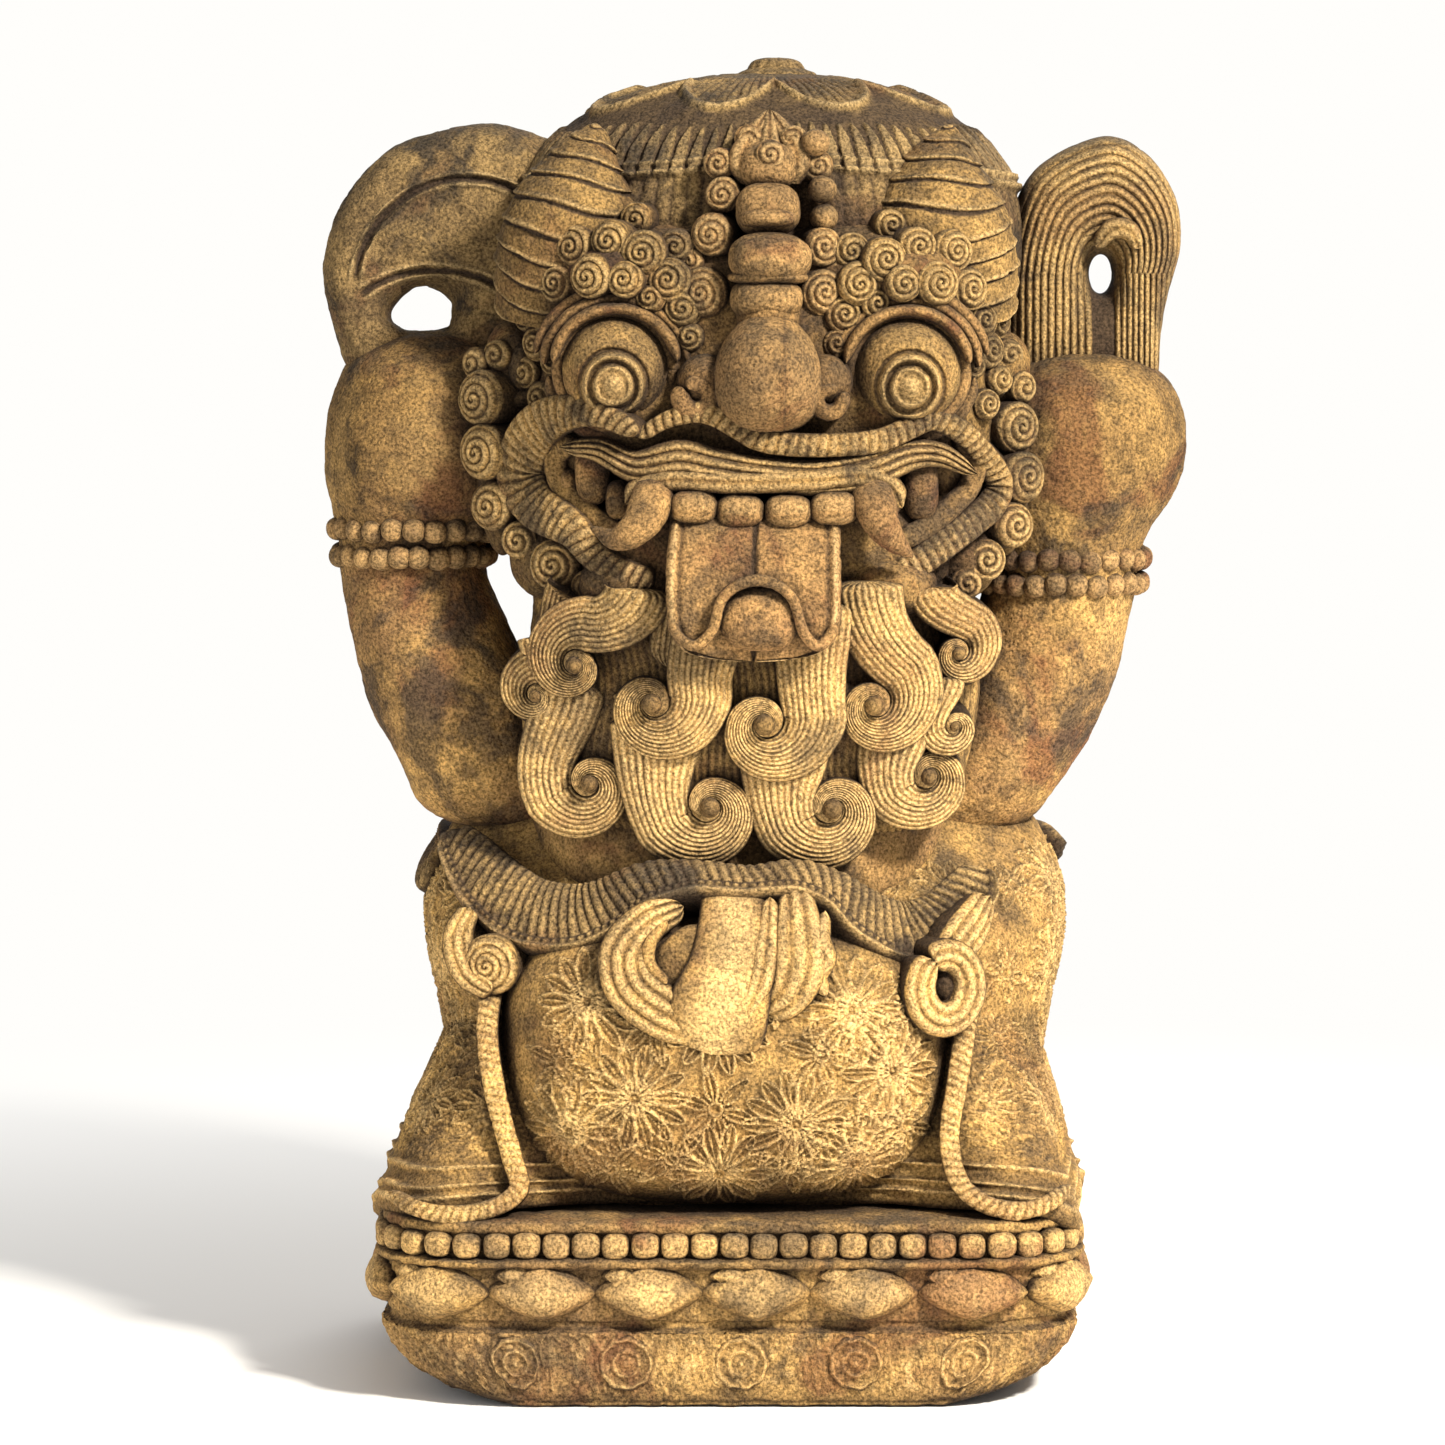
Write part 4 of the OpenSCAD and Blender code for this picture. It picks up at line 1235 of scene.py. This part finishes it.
def make_forehead():
    """Stacked pads between the brows, three upright leaves above them and curls at both sides."""
    c = Carving("Forehead_ornament")
    for at, radii, power in (((6, -128, 611), (20, 21, 12), 2.6), ((8, -132, 633), (23, 23, 15), 2.3),
                             ((7, -128, 623), (22, 22, 4.5), 2.5), ((7, -120, 660), (18, 20, 15), 2.5),
                             ((7, -126, 655), (16, 20, 6), 2.4), ((7, -112, 684), (17, 18, 14), 2.3)):
        c.add(ball(at, radii, 60, 80, power), 0.66, rough=0.8)
    for k in (-1, 0, 1):
        leaf = [(8 + k * 10, -112, 676), (8 + k * 15, -116, 688), (8 + k * 10, -110, 700),
                (8 + k * 2, -98, 713)]
        strip(c, leaf, [7, 8, 6, 3], 2, 1.4, 5, 22, 60)
    high, mid = -116.0, -126.0
    for x, z, r, turn, y in ((-24, 646, 12, 1, mid + 4), (-29, 614, 14, 1, mid + 2),
                             (37, 640, 11, -1, mid + 4), (37, 615, 13, -1, mid + 2), (-18, 668, 10, 1, high),
                             (-20, 686, 9, -1, high + 4), (34, 684, 9, 1, high + 4),
                             (-4, 699, 8, 1, high + 4), (21, 699, 8, -1, high + 4), (8, 690, 8, 1, high - 12),
                             (-36, 632, 8, -1, mid + 8), (47, 628, 7, 1, mid + 8)):
        snail(c, x, z, r, turn, y, 4.2, 2.0, 28, 0.55, lean=0.5 * (x - 7))
    for x, z in ((37, 671), (38, 656), (33, 697)):
        c.add(ball((x, high, z), (8, 10, 7.5), 24, 30), 0.7, rough=0.6)
    c.build(DETAIL)


def make_brows():
    """Clusters of round curls that arch over each eye."""
    left = [(-100, 640, 11), (-80, 643, 10), (-62, 636, 11), (-48, 622, 11), (-40, 606, 10), (-91, 623, 11),
            (-72, 622, 9), (-58, 612, 8), (-109, 620, 11), (-119, 637, 9), (-126, 620, 9), (-117, 603, 10),
            (-104, 605, 8), (-128, 601, 8), (-122, 586, 9), (-113, 577, 7), (-128, 570, 8), (-120, 556, 8),
            (-44, 640, 9), (-66, 655, 8), (-36, 590, 7), (-110, 655, 7)]
    for side, mirror in (("left", 1), ("right", -1)):
        c = Carving("Brow_curls_" + side)
        for i, (x, z, r) in enumerate(left):
            px = x if mirror > 0 else 9 - x
            turn = (1 if i % 3 else -1) * mirror
            slope = (face_y(px + 3, z) - face_y(px - 3, z)) / 6
            lean = 0.75 * math.degrees(math.atan(slope))
            y = face_y(px, z) - brow_push(px, z) - 6
            drop = 3 if mirror < 0 else 0
            snail(c, px, z - drop, r * 1.14, turn, y, 4.0, 2.6, 20, 0.55, 0.15 * i, lean)
        c.build(HAIR)


def make_ears():
    for side, k, x, z in (("left", -1, -135, 577), ("right", 1, 139, 571)):
        c = Carving("Ear_" + side)
        c.add(ball((x, -46, z), (17, 24, 23), 40, 60, 2.2), 0.5)
        arc = np.radians(np.linspace(100, 290, 90))
        path = np.stack([x + k * (17 * np.cos(arc) - 2), -62 + 5 * np.sin(arc), z + 22 * np.sin(arc)], -1)
        c.add(*ribbon(path, 5.0 * round_ends(90, 0.14, 0.2), 6, 26, None, cols=20), rough=0.7)
        c.add(ball((x - k * 4, -66, z - 4), (8, 9, 13), 30, 40), 0.62, rough=0.7)
        c.build(SKIN)


def make_ear_curls():
    """Curls that hang beside the face, backed by a mass of stone. Each: x, z, radius, turn, y."""
    left = [(-154, 555, 16, 1, -70), (-153, 525, 16, 1, -74), (-148, 495, 14, 1, -74),
            (-112, 463, 14.5, 1, -98), (-132, 476, 11, 1, -84), (-158, 575, 9, 1, -62),
            (-94, 452, 9, -1, -104), (-145, 580, 9, -1, -68)]
    right = [(147, 540, 14.5, -1, -72), (151, 512, 14.5, -1, -74), (145, 485, 13, -1, -78),
             (129, 466, 12, -1, -86), (151, 562, 9, -1, -66), (118, 452, 9, 1, -92), (143, 580, 9, 1, -66)]
    for side, k, places in (("left", -1, left), ("right", 1, right)):
        c = Carving("Ear_curls_" + side)
        # The masses behind the curls get low values, painted as shade between the curls.
        c.add(ball((k * 143, -40, 516), (14, 28, 50), 60, 80), 0.3)
        c.add(ball((k * 116, -60, 466), (22, 34, 24), 50, 70), 0.3)
        for x, z, r, turn, y in places:
            snail(c, x, z, r, turn, y, 4.8, 2.4, 30, 0.5, lean=k * (14 + 0.9 * max(0, abs(x) - 125)))
        c.build(HAIR)


# -------- mouth

def mouth_y(x, z):
    """Depth of the front of the lips."""
    return face_y(x, z) - 14 + 0.0004 * (x - FACE_X) ** 2


def on_face(points, n, proud=0.0):
    """Path on the front of the face through (x, z) points."""
    flat = curve(points, n)
    return np.column_stack([flat[:, 0], mouth_y(flat[:, 0], flat[:, 1]) - proud, flat[:, 1]])


def make_moustache():
    """Ribbed band that arches over the mouth and runs down to the chin, with a wide fan at the left."""
    row = Carving("Moustache")
    arch = on_face([(-64, 536), (-46, 546), (-28, 549), (-10, 541), (3, 534), (30, 531), (66, 533), (84, 540),
                    (98, 545), (114, 538), (129, 523), (137, 509), (132, 496), (114, 482), (96, 469),
                    (80, 458), (66, 452)], 460, 7)
    half = profile([4, 6, 6.5, 6.5, 6.5, 7, 8.5, 8.5, 8], 460) * round_ends(460, 0.02, 0.03)
    row.add(*ribbon(arch, half, 4.2, 28, ribs(5.6, 2.6, 1.0, 0.45), cols=28, dome=0.4), rough=0.4)
    fan = on_face([(-64, 538), (-86, 548), (-108, 548), (-124, 536), (-131, 514), (-122, 496), (-102, 484),
                   (-90, 470), (-74, 460), (-56, 455)], 330, 15)
    half = profile([5, 8, 13, 15, 13, 9, 8, 8], 330) * round_ends(330, 0.04, 0.04)
    row.add(*ribbon(fan, half, 4.5, 34, ribs(6.0, 2.8, 2.0, 0.45), 32, (-0.35, -1, 0), 0.4), rough=0.4)
    row.build(SKIN)


def make_lips():
    """Grooved upper lip, the gum below it and a hook at each corner of the mouth."""
    lip = Carving("Upper_lip")
    line = on_face([(-104, 529), (-86, 528), (-66, 519), (-42, 522), (-24, 519), (3, 515), (34, 513),
                    (62, 517), (84, 525), (102, 525), (120, 516)], 300, 3)
    half = profile([4, 7, 9, 12, 11, 9.5, 10, 11, 9, 7, 4], 300) * round_ends(300, 0.04, 0.04)
    lip.add(*ribbon(line, half, 7, 28, grooves(4, 2.6, 0.7), cols=56), rough=0.6)
    gum = on_face([(-70, 500), (-62, 508), (-44, 512), (-20, 511), (6, 511), (34, 512), (58, 514), (74, 508),
                   (80, 498)], 220, 6)
    lip.add(*ribbon(gum, 6.5 * round_ends(220, 0.1, 0.1), 6, 22, grooves(2, 1.4), cols=22), rough=0.6)
    for k, x in ((-1, -100), (1, 112)):
        hook = on_face([(x, 534), (x + k * 11, 524), (x + k * 8, 508), (x - k * 4, 495), (x - k * 17, 485),
                        (x - k * 32, 477)], 120)
        lip.add(*ribbon(hook, 6.5 * round_ends(120, 0.1, 0.1), 3.4, 26, None, cols=20), rough=0.8)
    lip.build(SKIN)


def make_jaw():
    jaw = Carving("Jaw")
    jaw.add(ball((4, -68, 470), (110, 62, 46), 80, 140, 2.4, front=0.4), 0.4)
    for x in (-68, 72):
        jaw.add(ball((x, -104, 452), (30, 26, 17), 70, 90, 2.3), 0.5)
    jaw.build(SKIN)


def make_teeth():
    """Four front teeth, two fangs that curl up beside the tongue, and molars in the corners of the mouth."""
    teeth = Carving("Teeth")
    for x, z in ((-34, 497), (-8, 495), (18, 495), (43, 496.5)):
        tooth = ball((x, -136, z), (13.2, 12, 9.6), 40, 50, 2.7)
        teeth.add(tooth, 0.7 - 0.3 * line_at(tooth[..., 2] - z + 3, 1.2), rough=0.9)
    teeth.build(DETAIL)
    fangs = Carving("Fangs")
    for points in ([(-55, -132, 508), (-58, -142, 497), (-65, -147, 486), (-77, -144, 480), (-91, -136, 486)],
                   [(63, -132, 508), (66, -142, 497), (70, -147, 487), (77, -144, 478), (87, -137, 469)]):
        fangs.add(tube(points, [11.5, 11.5, 9.5, 6.5, 1.5], 90, 40, 0.8), rough=0.7)
    fangs.build(DETAIL)
    molars = Carving("Molars")
    for x, z, w, h in ((-90, 515, 10, 18), (-76, 500, 7, 11), (92, 506, 10, 18), (76, 503, 6, 11),
                       (-104, 508, 6, 9)):
        y = float(mouth_y(x, z)) + 10
        molars.add(ball((x, y, z), (w, 11, h), 40, 36, 2.6), 0.6, rough=0.7)
    molars.build(DETAIL)


def tongue_relief(s, u, w):
    """A crease down the middle and a raised rim along both sides."""
    crease = line_at(u, 0.030)
    side = line_at(np.abs(u) - 0.93, 0.05)
    inner = line_at(np.abs(u) - 0.85, 0.03)
    height = 1.8 * side - 2.4 * crease - 1.0 * inner
    return height, np.clip(0.5 - 0.5 * crease + 0.4 * side - 0.3 * inner, 0, 1)


def make_tongue():
    """Broad hanging tongue: a blade, its tip curled up in front of it, and a rim round the tip."""
    path = curve([(0, -116, 500), (0, -138, 486), (-1, -150, 462), (-1, -154, 440), (-1, -153, 426),
                  (-1, -150, 414)], 160)
    half = profile([46, 47, 48, 48, 45, 34], 160) * round_ends(160, 0.03, 0.10)
    c = Carving("Tongue")
    c.add(*ribbon(path, half, 4, 18, tongue_relief, cols=120, dome=0.22), rough=1.0)
    c.add(ball((2, -152, 437), (23, 17, 19), 80, 100, 2.3), 0.58, rough=1.1)
    points = [(-46, -153, 446), (-44, -156, 430), (-34, -158, 422), (-24, -162, 430), (-18, -166, 448),
              (-6, -168, 457), (8, -168, 457), (20, -166, 448), (26, -162, 430), (34, -158, 422),
              (42, -156, 430), (45, -153, 446)]
    rim = 3.2 * round_ends(260, 0.04, 0.04)
    c.add(*ribbon(curve(points, 260), rim, 3.2, 10, None, cols=12), rough=0.4)
    c.build(DETAIL)


# -------- beard and back hair

def make_beard_back():
    """Mass of fine strands behind the beard, and broad strands in the gaps between its spirals."""
    P = loft([(306, -4, -42, 60, 50, 2.2), (314, -4, -44, 106, 64, 2.2), (345, -4, -46, 124, 72, 2.2),
              (390, -2, -48, 130, 78, 2.2), (430, 0, -48, 124, 78, 2.2), (458, 2, -46, 110, 72, 2.2),
              (466, 2, -46, 60, 50, 2.2)], 150, 420, front=0.5)
    flow = P[..., 0] / 4.4 + 0.9 * np.sin(P[..., 2] / 17) + 0.02 * P[..., 2]
    ridge = ridged(flow * math.pi)
    facing = smoothstep(-P[..., 1], 50, 80)
    mass = Carving("Beard_back_locks")
    # Its values stay low, so the mass behind the spirals is painted darker, as shade.
    mass.add(lifted(P, grid_normals(P), 1.8 * (ridge - 1) * facing), 0.1 + 0.4 * ridge, rough=0.6)
    strands = [((-40, 440), (-46, 408), 18, 14), ((70, 404), (78, 372), 14, 10),
               ((-66, 396), (-60, 352), 14, 10), ((30, 452), (44, 400), 16, 12),
               ((-104, 448), (-112, 424), 14, 10)]
    for (x0, z0), (x1, z1), w0, w1 in strands:
        x, z = curve([(x0, z0), ((x0 * 2 + x1) / 3, (z0 * 2 + z1) / 3 + 3), (x1, z1)], 70).T
        half = np.linspace(w0, w1, 70) * round_ends(70, 0.1, 0.2)
        path = np.column_stack([x, beard_y(x, z) + 1, z])
        mass.add(*ribbon(path, half, 8, 20, grooves(9, 1.7), cols=60), rough=0.4)
    mass.build(HAIR)


def upper_y(x, z):
    """Depth of the upper row of locks."""
    return beard_y(x, z) - 8


def lower_y(x, z):
    """Depth of the lower row of locks."""
    return beard_y(x, z) - 1


def make_beard_locks():
    """Each lock: start, centre, radius, angle of joining, turn, depth, half width at the start, grooves."""
    low = Carving("Beard_lower_row")
    for details in (((-102, 398), (-92, 342), 39, 205, 1, lower_y, 20, 9),
                    ((-54, 380), (-25, 330), 44, 205, 1, lower_y, 26, 11),
                    ((16, 366), (43, 329), 44, 205, 1, lower_y, 25, 11),
                    ((78, 380), (97, 346), 38, 205, 1, lower_y, 21, 9),
                    ((-118, 424), (-122, 391), 28, 90, 1, upper_y, 14, 7),
                    ((106, 402), (111, 374), 22, 190, 1, upper_y, 11, 6)):
        lock(low, *details)
    low.build(HAIR)
    top = Carving("Beard_upper_row")
    for details in (((-64, 452), (-100, 409), 39, 75, 1, upper_y, 19, 10),
                    ((-22, 444), (-57, 388), 45, 10, -1, upper_y, 21, 11),
                    ((32, 446), (5, 377), 46, 8, -1, upper_y, 22, 11),
                    ((60, 456), (66, 387), 45, 50, -1, upper_y, 21, 11),
                    ((98, 452), (113, 415), 30, 60, -1, upper_y, 14, 7)):
        lock(top, *details)
    top.build(HAIR)


def make_back_hair():
    """Long wavy locks down the back of the head, fine strands on broad ones."""
    P = loft([(340, 0, 60, 70, 44, 2.3), (348, 0, 60, 104, 62, 2.3), (400, 0, 58, 124, 78, 2.3),
              (470, 2, 54, 134, 88, 2.3), (540, 4, 50, 138, 92, 2.3), (610, 6, 44, 138, 94, 2.3),
              (650, 6, 40, 128, 90, 2.3), (662, 6, 40, 90, 60, 2.2)], 210, 520)
    theta = np.arctan2(P[..., 1] - 50, P[..., 0])
    wave = theta * 34 + 1.6 * np.sin(P[..., 2] / 34) + 0.8 * np.sin(P[..., 2] / 13 + theta * 3)
    fine = ridged(wave)
    broad = ridged(wave / 4, 0.5)
    P = lifted(P, grid_normals(P), 2.0 * (fine - 1) + 4.0 * (broad - 1))
    carve("Back_hair", HAIR, P, np.clip(0.1 + 0.5 * fine + 0.3 * broad, 0, 1))


for make in (make_plinth, make_bead_course, make_petals, make_medallions,
             make_hips, make_lap, make_drapes, make_hems, make_sash,
             make_left_scroll, make_knot_loop, make_knot_tail, make_knot_scroll, make_right_scroll,
             make_torso, make_arms, make_crescent, make_plume,
             make_head, make_crown, make_knob, make_horns, make_eyes, make_nose, make_nostrils,
             make_forehead, make_brows, make_ears, make_ear_curls,
             make_moustache, make_lips, make_jaw, make_teeth, make_tongue,
             make_beard_back, make_beard_locks, make_back_hair):
    make()


# -------- stage, light, camera

BACKDROP = (1.0, 0.99, 0.965, 1)
FIGURE = (0, 0, 0.4)                             # where the lamps point, in metres


def mixed(t, factor, first, second):
    """Mix of two shaders."""
    blend = t.nodes.new("ShaderNodeMixShader")
    for k, socket in enumerate((factor, first, second)):
        t.links.new(socket, blend.inputs[k])
    return blend.outputs[0]


def camera_ray(t):
    return t.nodes.new("ShaderNodeLightPath").outputs["Is Camera Ray"]


def fade_to_backdrop(t, bsdf):
    """Beyond the shadow the floor looks the same as the backdrop. Returns the floor's shader."""
    coord = t.nodes.new("ShaderNodeTexCoord")
    far = t.nodes.new("ShaderNodeVectorMath")
    far.operation = "LENGTH"
    t.links.new(coord.outputs["Object"], far.inputs[0])
    fade = t.nodes.new("ShaderNodeMapRange")
    fade.interpolation_type = "SMOOTHSTEP"
    fade.inputs["From Min"].default_value = 0.35
    fade.inputs["From Max"].default_value = 1.5
    t.links.new(far.outputs["Value"], fade.inputs["Value"])
    seen = t.nodes.new("ShaderNodeMath")
    seen.operation = "MULTIPLY"
    t.links.new(fade.outputs["Result"], seen.inputs[0])
    t.links.new(camera_ray(t), seen.inputs[1])
    glow = t.nodes.new("ShaderNodeEmission")
    glow.inputs["Color"].default_value = BACKDROP
    glow.inputs["Strength"].default_value = 1.0
    return mixed(t, seen.outputs[0], bsdf.outputs[0], glow.outputs[0])


def make_floor():
    """Pale floor that takes the figure's shadow."""
    bpy.ops.mesh.primitive_plane_add(size=60, location=(0, 0, 0))
    floor = bpy.context.object
    floor.name = "Floor"
    m = bpy.data.materials.new("pale_floor")
    m.use_nodes = True
    t = m.node_tree
    bsdf = t.nodes["Principled BSDF"]
    bsdf.inputs["Base Color"].default_value = (0.93, 0.925, 0.91, 1)
    bsdf.inputs["Roughness"].default_value = 0.9
    t.links.new(fade_to_backdrop(t, bsdf), t.nodes["Material Output"].inputs[0])
    floor.data.materials.append(m)


def make_world():
    """Soft warm light from all round; the camera sees an off-white backdrop instead."""
    world = bpy.data.worlds.new("Studio")
    bpy.context.scene.world = world
    world.use_nodes = True
    t = world.node_tree
    light = t.nodes["Background"]
    light.inputs[0].default_value = (1.0, 0.97, 0.93, 1)
    light.inputs[1].default_value = 0.46
    seen = t.nodes.new("ShaderNodeBackground")
    seen.inputs[0].default_value = BACKDROP
    seen.inputs[1].default_value = 1.0
    t.links.new(mixed(t, camera_ray(t), light.outputs[0], seen.outputs[0]), t.nodes["World Output"].inputs[0])


def pointed(name, data, at, aim):
    """Lamp or camera at one place, looking at another."""
    obj = bpy.data.objects.new(name, data)
    obj.location = at
    obj.rotation_euler = (Vector(aim) - Vector(at)).to_track_quat("-Z", "Y").to_euler()
    bpy.context.scene.collection.objects.link(obj)
    return obj


def area(name, at, size, power, colour=(1, 1, 1)):
    light = bpy.data.lights.new(name, "AREA")
    light.size = size
    light.energy = power
    light.color = colour
    pointed(name, light, at, FIGURE)


def make_camera():
    """Long lens a little above the figure, looking slightly down."""
    cam = bpy.data.cameras.new("Camera")
    cam.sensor_width = 36
    cam.lens = 129.7
    bpy.context.scene.camera = pointed("Camera", cam, (-0.018, -3.0, 0.60), (-0.018, -0.06, 0.3722))


make_floor()
make_world()
area("Key", (1.25, -1.5, 1.9), 0.32, 128, (1.0, 0.94, 0.84))
area("Fill", (-1.8, -1.6, 0.9), 1.6, 9, (0.96, 0.97, 1.0))
area("Back", (0.4, 1.9, 1.6), 1.4, 22)
make_camera()
bpy.context.scene.view_settings.view_transform = "Standard"
